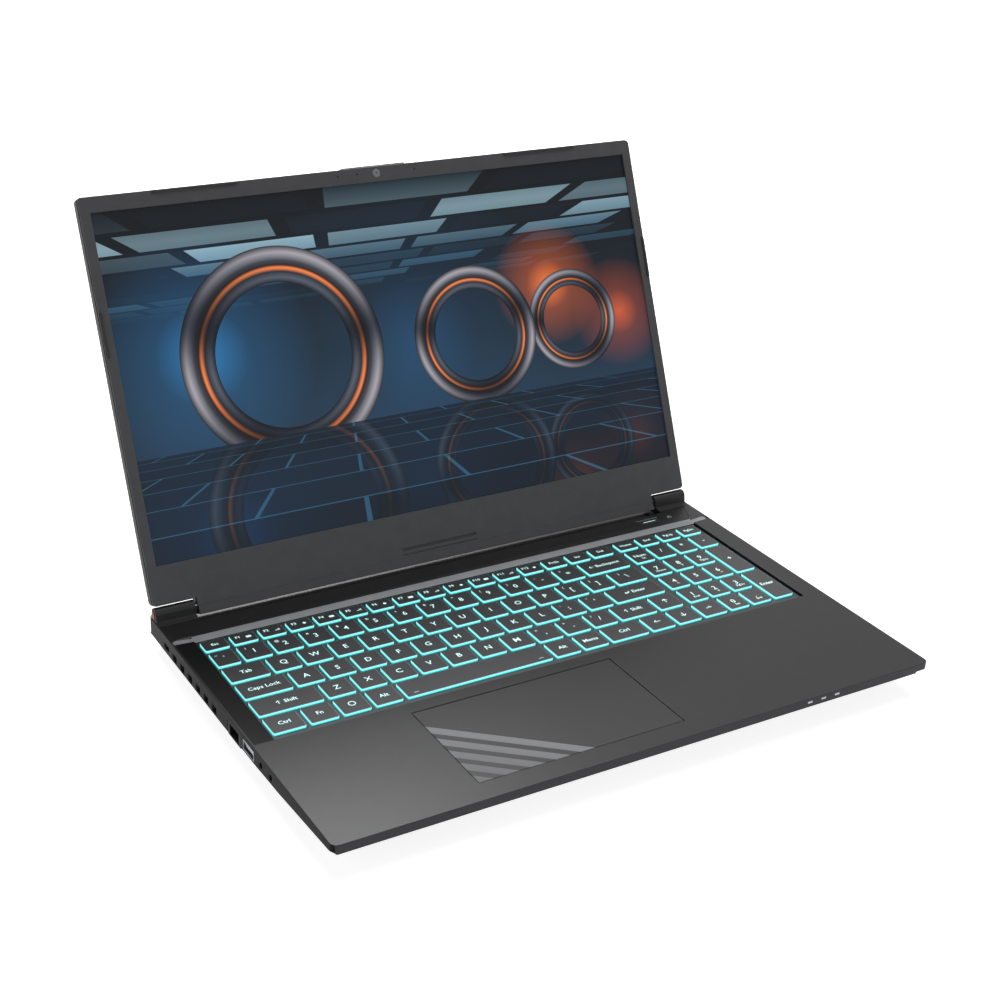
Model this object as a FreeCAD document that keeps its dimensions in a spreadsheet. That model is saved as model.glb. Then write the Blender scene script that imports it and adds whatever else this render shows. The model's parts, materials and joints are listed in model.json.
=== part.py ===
import FreeCAD
import Part
import Sketcher
import os
import re

# A clamshell laptop computer, in millimetres. X runs to the user's right, Y to the back and Z up.
# The origin is on the table, under the middle of the open laptop's bounding box.
# Base pieces are drawn with y from the front edge. Lid pieces are drawn in a frame on the hinge axis,
# with y up the screen and z towards the user.

DRIVING = {
    # Keyboard
    "key_unit": 18.17,
    "key_gap": 2.8,
    "row_pitch": 18.0,
    "function_depth": 10.0,
    "main_units": 14.62,
    "tilde_units": 0.864,
    "tab_units": 1.365,
    "caps_units": 1.634,
    "shift_units": 2.14,
    "ctrl_units": 1.14,
    "space_units": 5.0,
    "numpad_unit": 15.9,
    "numpad_space": 5.2,
    "keys_offset": -0.5,
    "key_margin": 2.4,
    "front_margin": 6.6,
    "rear_margin": 2.3,
    "key_rise": 1.5,
    "key_travel": 1.5,
    "cap_height": 2.5,
    "key_clearance": 0.4,
    "stem_radius": 1.6,
    "stem_clearance": 0.3,
    "frame_drop": 2.4,
    "frame_flange": 3.0,
    "flange_thickness": 1.0,
    "spacer_width": 1.5,
    "base_plate": 0.8,
    "press_room": 0.3,
    # Base shell
    "base_height": 17.0,
    "foot_height": 2.2,
    "case_wall": 1.8,
    "deck_thickness": 3.0,
    "corner_radius": 4.0,
    "side_strip": 12.3,
    "rim_width": 1.0,
    "strip_drop": 0.6,
    "palm_depth": 91.0,
    "ramp_run": 4.8,
    "ramp_drop": 1.9,
    "rear_deck": 14.9,
    "trough_length": 18.3,
    "trough_depth": 4.0,
    "shelf_thickness": 1.4,
    "front_skirt": 4.2,
    "mid_skirt": 8.6,
    "rear_skirt": 10.5,
    "mid_skirt_y": 62.0,
    "rear_skirt_run": 68.0,
    "front_inset": 4.5,
    "front_lip": 4.7,
    "front_ramp": 36.0,
    "fit_gap": 0.2,
    # Touchpad and power button
    "pad_centre_x": -36.0,
    "pad_width": 120.5,
    "pad_depth": 69.2,
    "pad_front": 13.2,
    "pad_recess": 0.2,
    "pad_thickness": 2.0,
    "pad_gap": 0.3,
    "pad_rib": 4.0,
    "bracket_edge": 6.0,
    "bracket_thickness": 0.8,
    "button_width": 16.0,
    "button_depth": 6.0,
    "button_inset": 38.0,
    "button_gap": 0.25,
    "button_flange": 1.0,
    "button_flange_thickness": 0.7,
    # Front indicators
    "led_width": 3.0,
    "led_height": 1.0,
    "led_depth": 1.6,
    "led_drop": 2.3,
    "led_pitch": 9.1,
    "led_inset": 65.0,
    # Hinges
    "open_angle": 113.23,
    "hinge_back": 8.0,
    "hinge_rise": 3.8,
    "lid_gap": 1.2,
    "tower_length": 23.2,
    "tower_inset": 0.5,
    "tower_radius": 3.6,
    "tower_foot": 4.3,
    "tower_apron": 4.0,
    "apron_height": 0.5,
    "tower_wall": 1.0,
    "tower_end_wall": 1.6,
    "accent_thickness": 0.4,
    "lid_end_gap": 1.4,
    "pin_radius": 1.2,
    "pin_clearance": 0.05,
    "pin_hole_gap": 0.3,
    "pin_in_lid": 14.0,
    "barrel_radius": 2.2,
    "barrel_length": 12.0,
    "upright_thickness": 3.0,
    "hinge_plate": 1.2,
    "hinge_plate_length": 18.0,
    "arm_length": 34.0,
    "arm_height": 16.0,
    # Lid
    "lid_thickness": 7.2,
    "lid_wall": 1.5,
    "lid_corner": 3.0,
    "bezel_thickness": 1.2,
    "bezel_inset": 0.4,
    "lid_front_gap": 0.45,
    "top_border": 9.0,
    "side_border": 6.1,
    "chin": 25.85,
    "notch_rise": 4.4,
    "notch_step": 0.35,
    "lip_drop": 5.15,
    "lip_proud": 1.9,
    "panel_thickness": 3.2,
    "panel_edge": 2.0,
    "panel_foot": 8.0,
    "panel_gap": 0.1,
    "camera_radius": 2.6,
    "camera_gap": 0.15,
    "camera_drop": 3.8,
    "camera_board": 64.0,
    "camera_board_height": 4.6,
    "camera_board_thickness": 1.2,
    "mic_offset": 25.0,
    "mic_radius": 0.5,
    "lip_ridge": 41.0,
    "lip_ridge_height": 0.9,
    "bumper_height": 0.9,
    "bumper_width": 1.3,
    "bumper_length": 50.0,
    "bumper_inner": 87.0,
    "bumper_inset": 0.7,
    "side_bumper_low": 116.0,
    "side_bumper_length": 25.0,
    "slot_length": 50.0,
    "slot_height": 1.8,
    "slot_depth": 0.6,
    "slot_rise": 4.9,
    "slit_height": 0.9,
    "slit_rise": 1.8,
    # Ports
    "rear_port_depth": 14.0,
    "port_proud": 0.2,
    "port_wall": 0.5,
    "port_top": 3.1,
    "io_board_drop": 9.0,
    "io_board_width": 12.0,
    "board_thickness": 1.4,
    "jack_drop": 5.5,
    "jack_bore": 1.8,
    "jack_bore_length": 14.0,
    "jack_depth": 15.0,
    "jack_nose": 2.3,
    "jack_width": 7.0,
    "jack_front_y": 69.5,
    "jack_pitch": 11.9,
    "usb_width": 13.6,
    "usb_y": 97.0,
    "right_usb_y": 121.0,
    "right_usb_pitch": 19.0,
    "usb_tongue": 1.9,
    "rj_width": 16.0,
    "rj_height": 7.9,
    "rj_opening_width": 11.8,
    "rj_opening_height": 6.4,
    "rj_opening_depth": 11.2,
    "rj_y": 115.0,
    "usb_c_width": 9.4,
    "usb_c_height": 3.4,
    "usb_c_y": 103.0,
    "card_width": 15.0,
    "card_height": 2.4,
    "card_y": 86.0,
    "inlet_width": 12.0,
    "inlet_height": 5.6,
    "inlet_back": 27.0,
    "hdmi_width": 15.0,
    "hdmi_height": 4.6,
    "hdmi_x": -40.0,
    "lock_width": 7.0,
    "lock_height": 3.0,
    "lock_drop": 6.5,
    "lock_back": 28.0,
    "vent_width": 5.6,
    "vent_height": 4.2,
    "vent_pitch": 11.3,
    "vent_drop": 7.4,
    "vent_back": 40.0,
    "grille_bar": 1.6,
    "grille_slot": 2.8,
    # Inside the base
    "board_height": 2.4,
    "board_front": 5.5,
    "board_depth": 50.0,
    "chip_thickness": 1.2,
    "chip_width": 38.0,
    "chip_depth": 28.0,
    "chip_x": 34.0,
    "sink_plate": 0.8,
    "pipe_width": 8.0,
    "pipe_thickness": 1.6,
    "pipe_x": 14.0,
    "fan_width": 66.0,
    "fan_depth": 62.0,
    "fan_height": 6.4,
    "fan_floor": 0.8,
    "fan_inset": 24.0,
    "fan_cavity_radius": 29.5,
    "impeller_radius": 27.5,
    "hub_radius": 9.0,
    "blade_thickness": 1.0,
    "axle_radius": 2.0,
    "axle_clearance": 0.05,
    "impeller_lift": 0.4,
    "fin_depth": 11.0,
    "fin_thickness": 0.6,
    "fin_pitch": 3.0,
    "fin_gap": 1.5,
    "battery_depth": 42.0,
    "battery_height": 8.0,
    "speaker_length": 32.0,
    "speaker_depth": 18.0,
    "speaker_height": 7.0,
    "inside_gap": 2.0,
    "module_length": 67.6,
    "module_depth": 30.0,
    "module_thickness": 1.2,
    "module_lift": 1.0,
    "module_foot": 5.0,
    "drive_length": 80.0,
    "card_depth": 15.0,
    "wireless_length": 30.0,
    # Underside
    "foot_width": 8.0,
    "front_foot_length": 40.0,
    "front_foot_inset": 22.0,
    "rear_foot_length": 260.0,
    "rear_foot_back": 16.0,
    "screw_radius": 1.2,
    "screw_head_radius": 2.4,
    "screw_head": 1.0,
    "screw_length": 8.0,
    "screw_clearance": 0.05,
    "boss_radius": 3.0,
    "post_radius": 2.5,
}

COUNTS = {"function_keys": 16, "vents": 6, "grille_slots": 14, "blades": 23, "fins": 20}

DERIVED = {
    # Heights over the table
    "deck_z": "foot_height + base_height",
    "floor_z": "foot_height + case_wall",
    "under_deck": "deck_z - deck_thickness",
    "skirt_z": "deck_z - rear_skirt",
    "trough_z": "deck_z - trough_depth",
    "under_shelf": "trough_z - shelf_thickness",
    "frame_z": "deck_z - frame_drop",
    "key_top": "frame_z + key_rise",
    "cap_bottom": "key_top - cap_height",
    "flange_low": "under_deck - flange_thickness",
    "plate_top": "cap_bottom - key_travel - press_room",
    "plate_low": "plate_top - base_plate",
    # Keyboard, from the left and from the front
    "main_width": "main_units * key_unit - key_gap",
    "numpad_width": "4 * numpad_unit - key_gap",
    "keys_width": "main_width + numpad_space + numpad_width",
    "keys_left": "keys_offset - keys_width / 2",
    "main_right": "keys_left + main_width",
    "numpad_left": "main_right + numpad_space",
    "function_unit": "(main_width + key_gap) / %d" % COUNTS["function_keys"],
    "arrow_left": "main_right - key_unit + key_gap",
    "key_front": "palm_depth + front_margin",
    # Deck, from the middle and from the front
    "well_half": "keys_width / 2 + key_margin",
    "half_width": "well_half + side_strip",
    "well_rear": "key_front + 5 * row_pitch + function_depth + rear_margin",
    "ramp_rear": "well_rear + ramp_run",
    "trough_front": "ramp_rear + rear_deck",
    "base_depth": "trough_front + trough_length",
    "inner_half": "half_width - case_wall",
    "rear_skirt_y": "mid_skirt_y + rear_skirt_run",
    # Hinge axis and lid frame
    "hinge_y": "base_depth - hinge_back",
    "hinge_z": "deck_z + hinge_rise",
    "tower_out": "half_width - tower_inset",
    "tower_in": "tower_out - tower_length",
    "centre_half": "tower_in - lid_end_gap",
    "lid_tilt": "180 - open_angle",
    "face_z": "hinge_rise - lid_gap",
    "rim_z": "face_z - bezel_thickness",
    "back_z": "face_z - lid_thickness",
    "lid_floor": "back_z + lid_wall",
    "lid_top": "hinge_y - lid_front_gap",
    "screen_half": "half_width - side_border",
    "screen_top": "lid_top - top_border",
    "cover_notch": "notch_rise - notch_step",
    "camera_y": "lid_top - camera_drop",
    "front_y": "(0 - hinge_y - (lid_top + lip_ridge_height) * cos(lid_tilt) + back_z * sin(lid_tilt)) / 2",
    # Tangent points of the tower's sloping sides on its round top
    "tower_reach": "tower_foot * tower_foot + hinge_rise * hinge_rise",
    "tower_root": "tower_radius * sqrt(tower_reach - tower_radius * tower_radius)",
    "tangent_y": "(tower_radius * tower_radius * tower_foot + tower_root * hinge_rise) / tower_reach",
    "tangent_z": "(tower_root * tower_foot - tower_radius * tower_radius * hinge_rise) / tower_reach",
    # Inside the base
    "board_low": "floor_z + board_height",
    "board_top": "board_low + board_thickness",
    "board_y": "palm_depth + board_front",
    "board_rear": "board_y + board_depth",
    "chip_top": "board_top + chip_thickness",
    "pipe_low": "chip_top + sink_plate",
    "io_top": "deck_z - io_board_drop",
    "io_low": "io_top - board_thickness",
    "fan_x": "half_width - fan_inset - fan_width / 2",
    "fan_rear": "trough_front - fin_gap - fin_depth / 2",
    "fan_front": "fan_rear - fan_depth",
    "fan_y": "(fan_front + fan_rear) / 2",
    "fan_base": "floor_z + fan_floor",
    "fin_front": "fan_rear + fin_gap",
    "fin_rear": "fin_front + fin_depth",
    "pipe_y": "(fin_front + fin_rear) / 2",
    "ramp_end": "front_inset + front_ramp",
    "battery_front": "ramp_end + inside_gap",
    "speaker_out": "half_width - (base_height - mid_skirt) - 2 * case_wall - inside_gap",
    "battery_half": "speaker_out - speaker_length - inside_gap",
    "boss_y": "palm_depth + boss_radius / 2",
    "screw_rear_y": "fin_rear + boss_radius + inside_gap / 2",
    # Ports
    "jack_z": "deck_z - jack_drop",
    "port_roof": "deck_z - port_top",
    "port_face": "half_width - port_proud",
    "port_back": "well_half + fit_gap",
    "lean_wall": "case_wall * sqrt(2)",
    "port_shoulder": "half_width - lean_wall - 2 * fit_gap",
    "seam_slope": "(mid_skirt - front_skirt) / mid_skirt_y",
    "jack_seam": "deck_z - front_skirt - seam_slope * (jack_front_y - jack_width)",
    "io_edge": "port_shoulder - jack_seam + io_low",
    "rj_low": "port_roof - rj_height",
    "inlet_y": "base_depth - inlet_back",
    "inlet_low": "port_roof - inlet_height",
    "pad_left": "pad_centre_x - pad_width / 2",
    "pad_right": "pad_centre_x + pad_width / 2",
    "pad_rear": "pad_front + pad_depth",
    "pad_top": "deck_z - pad_recess",
    "pad_low": "pad_top - pad_thickness",
    "button_x": "half_width - button_inset",
    "button_y": "ramp_rear + rear_deck / 2",
}

EXPRESSION_WORDS = {"sqrt", "cos", "sin"}
XY, YZ, XZ = "XY_Plane", "YZ_Plane", "XZ_Plane"
SIDES = {"left": -1, "right": 1}
LOOPS_PER_SKETCH = 24
JACKS = ("jack_front_y", "jack_front_y + jack_pitch")
RIGHT_USB = ("right_usb_y", "right_usb_y + right_usb_pitch")

doc = FreeCAD.newDocument("laptop")
sheet = doc.addObject("Spreadsheet::Sheet", "dims")
pieces = []


def fill_sheet():
    """Write the driving sizes and the sizes worked out from them, one named cell each."""
    rows = [(name, str(value)) for name, value in DRIVING.items()]
    rows += [(name, "=" + formula) for name, formula in DERIVED.items()]
    for row, (name, content) in enumerate(rows, 1):
        sheet.set("A%d" % row, name)
        sheet.setAlias("B%d" % row, name)
        sheet.set("B%d" % row, content)
    doc.recompute()


def bind(text):
    """Point every size named in an expression at its cell."""
    def cell(match):
        return match[0] if match[0] in EXPRESSION_WORDS else "dims." + match[0]
    return re.sub(r"[a-z_]+", cell, str(text))


def size(text):
    """Number that an expression of named sizes gives."""
    return float(sheet.evalExpression(bind(text)))


def rect(left, right, low, high):
    """Closed rectangle as its corner expressions."""
    return [(left, low), (right, low), (right, high), (left, high)]


def centred(x, y, width, height):
    """Rectangle of a width and height about a point."""
    return rect("%s - (%s) / 2" % (x, width), "%s + (%s) / 2" % (x, width),
                "%s - (%s) / 2" % (y, height), "%s + (%s) / 2" % (y, height))


def mirrored(loop):
    """Closed outline turned over to the other side of x = 0."""
    return [("0 - (%s)" % x, y) for x, y in reversed(loop)]


def is_rectangle(loop):
    """Whether an outline is an upright rectangle that starts with a level side."""
    if len(loop) != 4:
        return False
    level = loop[0][1] == loop[1][1] and loop[2][1] == loop[3][1]
    return level and loop[1][0] == loop[2][0] and loop[3][0] == loop[0][0]


def ring(x, y, radius):
    """Circle as its centre and radius expressions."""
    return (x, y, radius)


def span(side, inner, outer):
    """Low and high expressions of a stretch of x given from the middle outwards."""
    return (inner, outer) if side > 0 else ("0 - (%s)" % outer, "0 - (%s)" % inner)


class Piece:
    """One physical piece, built as a body from sketched outlines."""

    def __init__(self, label, on_lid=False, at=("0", "0", "0")):
        self.body = doc.addObject("PartDesign::Body", label)
        self.body.Label = label
        if on_lid:
            self.body.Placement.Rotation = FreeCAD.Rotation(FreeCAD.Vector(1, 0, 0), size("lid_tilt"))
            self.body.setExpression("Placement.Rotation.Angle", bind("lid_tilt"))
            at = ("0", "hinge_y", "hinge_z")
        self.body.setExpression("Placement.Base.x", bind(at[0]))
        self.body.setExpression("Placement.Base.y", bind("front_y + %s" % at[1]))
        self.body.setExpression("Placement.Base.z", bind(at[2]))
        pieces.append(self.body)

    def sketch(self, loops, plane, level):
        """Fully dimensioned sketch of closed outlines, on a plane of the body at a level along its normal."""
        sketch = self.body.newObject("Sketcher::SketchObject", self.body.Name + "_sketch")
        support = [f for f in self.body.Origin.OriginFeatures if f.Role == plane]
        sketch.AttachmentSupport = [(support[0], "")]
        sketch.MapMode = "FlatFace"
        sketch.setExpression("AttachmentOffset.Base.z", bind(level))
        shapes, rules, driven = [], [], []
        for loop in loops:
            start = len(shapes)
            if isinstance(loop, tuple):
                x, y, radius = loop
                centre = FreeCAD.Vector(size(x), size(y), 0)
                shapes.append(Part.Circle(centre, FreeCAD.Vector(0, 0, 1), size(radius)))
                targets = [("DistanceX", 3, x), ("DistanceY", 3, y), ("Radius", None, radius)]
                targets = [(kind, start, point, text) for kind, point, text in targets]
            else:
                corners = [FreeCAD.Vector(size(x), size(y), 0) for x, y in loop]
                count = len(corners)
                for i in range(count):
                    shapes.append(Part.LineSegment(corners[i], corners[(i + 1) % count]))
                    rules.append(Sketcher.Constraint("Coincident", start + i, 2, start + (i + 1) % count, 1))
                dimensioned = range(count)
                if is_rectangle(loop):
                    dimensioned = (0, 2)
                    for i, way in enumerate(("Horizontal", "Vertical", "Horizontal", "Vertical")):
                        rules.append(Sketcher.Constraint(way, start + i))
                targets = [("DistanceX", start + i, 1, loop[i][0]) for i in dimensioned]
                targets += [("DistanceY", start + i, 1, loop[i][1]) for i in dimensioned]
            for kind, shape, point, text in targets:
                driven.append((len(rules), text))
                if point is None:
                    rules.append(Sketcher.Constraint(kind, shape, size(text)))
                else:
                    rules.append(Sketcher.Constraint(kind, -1, 1, shape, point, size(text)))
        sketch.addGeometry(shapes, False)
        sketch.addConstraint(rules)
        for index, text in driven:
            sketch.setExpression("Constraints[%d]" % index, bind(text))
        return sketch

    def grow(self, kind, loops, plane, level, length):
        """Add a pad or a pocket of some outlines, a few to each sketch."""
        for start in range(0, len(loops), LOOPS_PER_SKETCH):
            feature = self.body.newObject("PartDesign::" + kind, self.body.Name + "_" + kind.lower())
            feature.Profile = self.sketch(loops[start:start + LOOPS_PER_SKETCH], plane, level)
            feature.setExpression("Length", bind(length))
        return feature

    def pad(self, loops, low, high, plane=XY):
        """Add material between two levels of the axis that the plane faces."""
        level = "0 - (%s)" % high if plane == XZ else low
        return self.grow("Pad", loops, plane, level, "(%s) - (%s)" % (high, low))

    def pocket(self, loops, low, high, plane=XY):
        """Cut material away between two levels of the axis that the plane faces."""
        level = "0 - (%s)" % low if plane == XZ else high
        return self.grow("Pocket", loops, plane, level, "(%s) - (%s)" % (high, low))

    def loft(self, kind, sections):
        """Add or cut a straight-sided loft through outlines given with their places along y."""
        sketches = [self.sketch([loop], XZ, "0 - (%s)" % y) for y, loop in sections]
        feature = self.body.newObject("PartDesign::" + kind, self.body.Name + "_loft")
        feature.Profile = sketches[0]
        feature.Sections = sketches[1:]
        feature.Ruled = True

    def round(self, radius, wanted):
        """Fillet the edges of the newest feature that wanted() picks."""
        doc.recompute()
        tip = self.body.Tip
        names = ["Edge%d" % i for i, edge in enumerate(tip.Shape.Edges, 1) if wanted(edge)]
        feature = self.body.newObject("PartDesign::Fillet", self.body.Name + "_fillet")
        feature.Base = (tip, names)
        feature.setExpression("Radius", bind(radius))


def stands_at(axis, places):
    """Test for straight edges along one axis that pass through given points of the other two."""
    def wanted(edge):
        box = edge.BoundBox
        low = [box.XMin, box.YMin, box.ZMin]
        high = [box.XMax, box.YMax, box.ZMax]
        others = [i for i in range(3) if i != axis]
        if high[axis] - low[axis] < 0.1 or any(high[i] - low[i] > 0.01 for i in others):
            return False
        return any(all(abs(low[i] - place[n]) < 0.01 for n, i in enumerate(others)) for place in places)
    return wanted


def key_layout():
    """Outlines of all keys by group: each key is left, right, front and rear."""
    groups = {}

    def row(index, depth="row_pitch - key_gap"):
        front = "key_front + %d * row_pitch" % index
        return front, "%s + %s" % (front, depth)

    def add(group, index, left, right, depth="row_pitch - key_gap"):
        front, rear = row(index, depth)
        groups.setdefault(group, []).append((left, right, front, rear))

    def run(group, index, left, count, unit="key_unit", depth="row_pitch - key_gap"):
        for i in range(count):
            start = "%s + %d * %s" % (left, i, unit)
            add(group, index, start, "%s + %s - key_gap" % (start, unit), depth)

    def wide(group, index, left, units):
        add(group, index, left, "%s + %s * key_unit - key_gap" % (left, units))

    tall = "2 * row_pitch - key_gap"
    last_column = "numpad_left + 3 * numpad_unit"
    run("function_keys", 5, "keys_left", COUNTS["function_keys"], "function_unit", "function_depth")
    run("function_keys", 5, "numpad_left", 4, "numpad_unit", "function_depth")
    wide("number_keys", 4, "keys_left", "tilde_units")
    run("number_keys", 4, "keys_left + tilde_units * key_unit", 12)
    add("backspace_key", 4, "keys_left + (tilde_units + 12) * key_unit", "main_right")
    run("numpad_keys", 4, "numpad_left", 4, "numpad_unit")
    wide("modifier_keys", 3, "keys_left", "tab_units")
    run("top_letter_keys", 3, "keys_left + tab_units * key_unit", 12)
    add("top_letter_keys", 3, "keys_left + (tab_units + 12) * key_unit", "main_right")
    run("numpad_keys", 3, "numpad_left", 3, "numpad_unit")
    wide("modifier_keys", 2, "keys_left", "caps_units")
    run("home_letter_keys", 2, "keys_left + caps_units * key_unit", 11)
    add("enter_key", 2, "keys_left + (caps_units + 11) * key_unit", "main_right")
    run("numpad_keys", 2, "numpad_left", 3, "numpad_unit")
    add("numpad_tall_keys", 2, last_column, last_column + " + numpad_unit - key_gap", tall)
    wide("shift_keys", 1, "keys_left", "shift_units")
    run("lower_letter_keys", 1, "keys_left + shift_units * key_unit", 10)
    add("shift_keys", 1, "keys_left + (shift_units + 10) * key_unit", "arrow_left - key_gap")
    run("arrow_keys", 1, "arrow_left", 1)
    run("numpad_keys", 1, "numpad_left", 3, "numpad_unit")
    wide("modifier_keys", 0, "keys_left", "ctrl_units")
    run("modifier_keys", 0, "keys_left + ctrl_units * key_unit", 3)
    wide("space_bar", 0, "keys_left + (ctrl_units + 3) * key_unit", "space_units")
    right_of_space = "keys_left + (ctrl_units + 3 + space_units) * key_unit"
    run("modifier_keys", 0, right_of_space, 2)
    add("modifier_keys", 0, right_of_space + " + 2 * key_unit", "arrow_left - key_unit - key_gap")
    run("arrow_keys", 0, "arrow_left - key_unit", 3)
    run("numpad_keys", 0, "numpad_left + numpad_unit", 2, "numpad_unit")
    add("numpad_tall_keys", 0, last_column, last_column + " + numpad_unit - key_gap", tall)
    return groups


def make_keyboard():
    """Key groups, the frame with a window for each key and the plate that guides the stems."""
    groups = key_layout()
    windows, holes = {}, {}
    for label, keys in groups.items():
        caps, stems = [], []
        for left, right, front, rear in keys:
            centre = ("((%s) + (%s)) / 2" % (left, right), "((%s) + (%s)) / 2" % (front, rear))
            caps.append(rect(left, right, front, rear))
            stems.append(ring(*centre, "stem_radius"))
            window = rect(left + " - key_clearance", right + " + key_clearance",
                          front + " - key_clearance", rear + " + key_clearance")
            windows.setdefault(front, []).append(window)
            holes.setdefault(front, []).append(ring(*centre, "stem_radius + stem_clearance"))
        group = Piece(label)
        group.pad(caps, "cap_bottom", "key_top")
        group.pad(stems, "plate_low", "cap_bottom")

    front, rear = "palm_depth - frame_flange", "well_rear + frame_flange"
    outline = rect("fit_gap - well_half", "well_half - fit_gap", front, rear)
    room = rect("fit_gap + spacer_width - well_half", "well_half - fit_gap - spacer_width",
                front + " + spacer_width", rear + " - spacer_width")
    frame = Piece("keyboard_frame")
    frame.pad([outline], "plate_top", "under_deck")
    island = rect("fit_gap - well_half", "well_half - fit_gap", "palm_depth + fit_gap", "well_rear - fit_gap")
    frame.pad([island], "under_deck", "frame_z")
    frame.pocket([room], "plate_top", "flange_low")
    for row in windows.values():
        frame.pocket(row, "flange_low", "frame_z")
    plate = Piece("keyboard_base")
    plate.pad([outline], "plate_low", "plate_top")
    for row in holes.values():
        plate.pocket(row, "plate_low", "plate_top")


def front_seam(y):
    """Height of the rising front stretch of the seam between the two cases, at a place along y."""
    return "deck_z - front_skirt - seam_slope * (%s)" % y


def make_top_case():
    """Palm rest and deck with the keyboard well, deep side skirts, rear shelf and all side openings."""
    case = Piece("top_case")
    case.pad([rect("0 - half_width", "half_width", "0", "base_depth")], "skirt_z", "deck_z")
    half, depth = size("half_width"), size("base_depth")
    case.round("corner_radius", stands_at(2, [(x, y) for x in (-half, half) for y in (0, depth)]))
    inner = rect("0 - inner_half", "inner_half", "case_wall", "trough_front - case_wall")
    under = rect("0 - inner_half", "inner_half", "trough_front - case_wall", "base_depth - case_wall")
    trough = rect("0 - tower_in", "tower_in", "trough_front", "base_depth + case_wall")
    case.pocket([inner], "skirt_z", "under_deck")
    case.pocket([under], "skirt_z", "under_shelf")
    case.pocket([trough], "trough_z", "deck_z")
    below = [("0 - case_wall", front_seam("0 - case_wall")), ("mid_skirt_y", "deck_z - mid_skirt"),
             ("rear_skirt_y", "skirt_z"), ("rear_skirt_y", "skirt_z - case_wall"),
             ("0 - case_wall", "skirt_z - case_wall")]
    case.pocket([below], "0 - half_width - case_wall", "half_width + case_wall", YZ)

    # Keyboard well, the strips that fall to it from the rims and the ramp behind it
    case.pocket([rect("0 - well_half", "well_half", "palm_depth", "well_rear")], "under_deck", "deck_z")
    strip = [("half_width - rim_width", "deck_z"), ("well_half", "deck_z - strip_drop"),
             ("well_half", "deck_z + rim_width"), ("half_width - rim_width", "deck_z + rim_width")]
    case.pocket([strip, mirrored(strip)], "palm_depth", "ramp_rear", XZ)
    ramp = [("ramp_rear", "deck_z"), ("well_rear", "deck_z - ramp_drop"), ("well_rear", "deck_z + rim_width"),
            ("ramp_rear", "deck_z + rim_width")]
    case.pocket([ramp], "rim_width - half_width", "half_width - rim_width", YZ)

    # Touchpad window, power button hole and the slots that the hinge uprights come through
    case.pocket([rect("pad_left", "pad_right", "pad_front", "pad_rear")], "under_deck", "deck_z")
    button = centred("button_x", "button_y", "button_width", "button_depth")
    case.pocket([button], "under_deck", "deck_z")
    slot = rect("tower_in + tower_end_wall", "tower_out - tower_end_wall",
                "hinge_y - upright_thickness", "hinge_y + upright_thickness")
    case.pocket([slot, mirrored(slot)], "under_shelf", "deck_z")

    # Light windows in the front edge
    lights = [centred("half_width - led_inset - %d * led_pitch" % i, "deck_z - led_drop",
                      "led_width", "led_height") for i in range(3)]
    case.pocket(lights, "0 - rim_width", "led_depth", XZ)

    # Side openings: jacks, sockets, vents and the lock slot
    vents = [centred("base_depth - vent_back - %d * vent_pitch" % i, "deck_z - vent_drop",
                     "vent_width", "vent_height") for i in range(COUNTS["vents"])]
    lock = centred("base_depth - lock_back", "deck_z - lock_drop", "lock_width", "lock_height")
    left = list(vents) + [lock]
    left += [ring(y, "jack_z", "jack_nose + fit_gap / 2") for y in JACKS]
    left.append(socket("usb_y", "usb_width", "io_top", "port_roof", "fit_gap"))
    left.append(socket("rj_y", "rj_width", "rj_low", "port_roof", "fit_gap"))
    right = vents[:-1]
    right += [socket(y, "usb_width", "io_top", "port_roof", "fit_gap") for y in RIGHT_USB]
    right.append(socket("usb_c_y", "usb_c_width", "io_top", "io_top + usb_c_height", "fit_gap"))
    right.append(socket("card_y", "card_width", "io_top", "io_top + card_height", "fit_gap"))
    right.append(socket("inlet_y", "inlet_width", "inlet_low", "port_roof", "fit_gap"))
    case.pocket(left, "0 - half_width - rim_width", "fit_gap - inner_half", YZ)
    case.pocket(right, "inner_half - fit_gap", "half_width + rim_width", YZ)

    # Rear grilles over the fin stacks and the rear socket
    pitch = "(grille_bar + grille_slot)"
    grille = [rect("fan_x + (%d - %d / 2) * %s" % (i, COUNTS["grille_slots"], pitch),
                   "fan_x + (%d - %d / 2) * %s + grille_slot" % (i, COUNTS["grille_slots"], pitch),
                   "skirt_z + grille_bar", "under_shelf - grille_bar / 4")
              for i in range(COUNTS["grille_slots"])]
    rear = grille + [mirrored(loop) for loop in grille]
    rear.append(rect("hdmi_x - hdmi_width / 2 - fit_gap", "hdmi_x + hdmi_width / 2 + fit_gap",
                     "under_shelf - hdmi_height - 2 * fit_gap", "under_shelf"))
    case.pocket(rear, "base_depth - case_wall - fit_gap", "base_depth + rim_width", XZ)


def socket(y, width, low, high, gap):
    """Rectangle of a socket in a side wall, with a gap round it."""
    return rect("%s - %s / 2 - %s" % (y, width, gap), "%s + %s / 2 + %s" % (y, width, gap),
                "%s - %s" % (low, gap), "%s + %s" % (high, gap))


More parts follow.
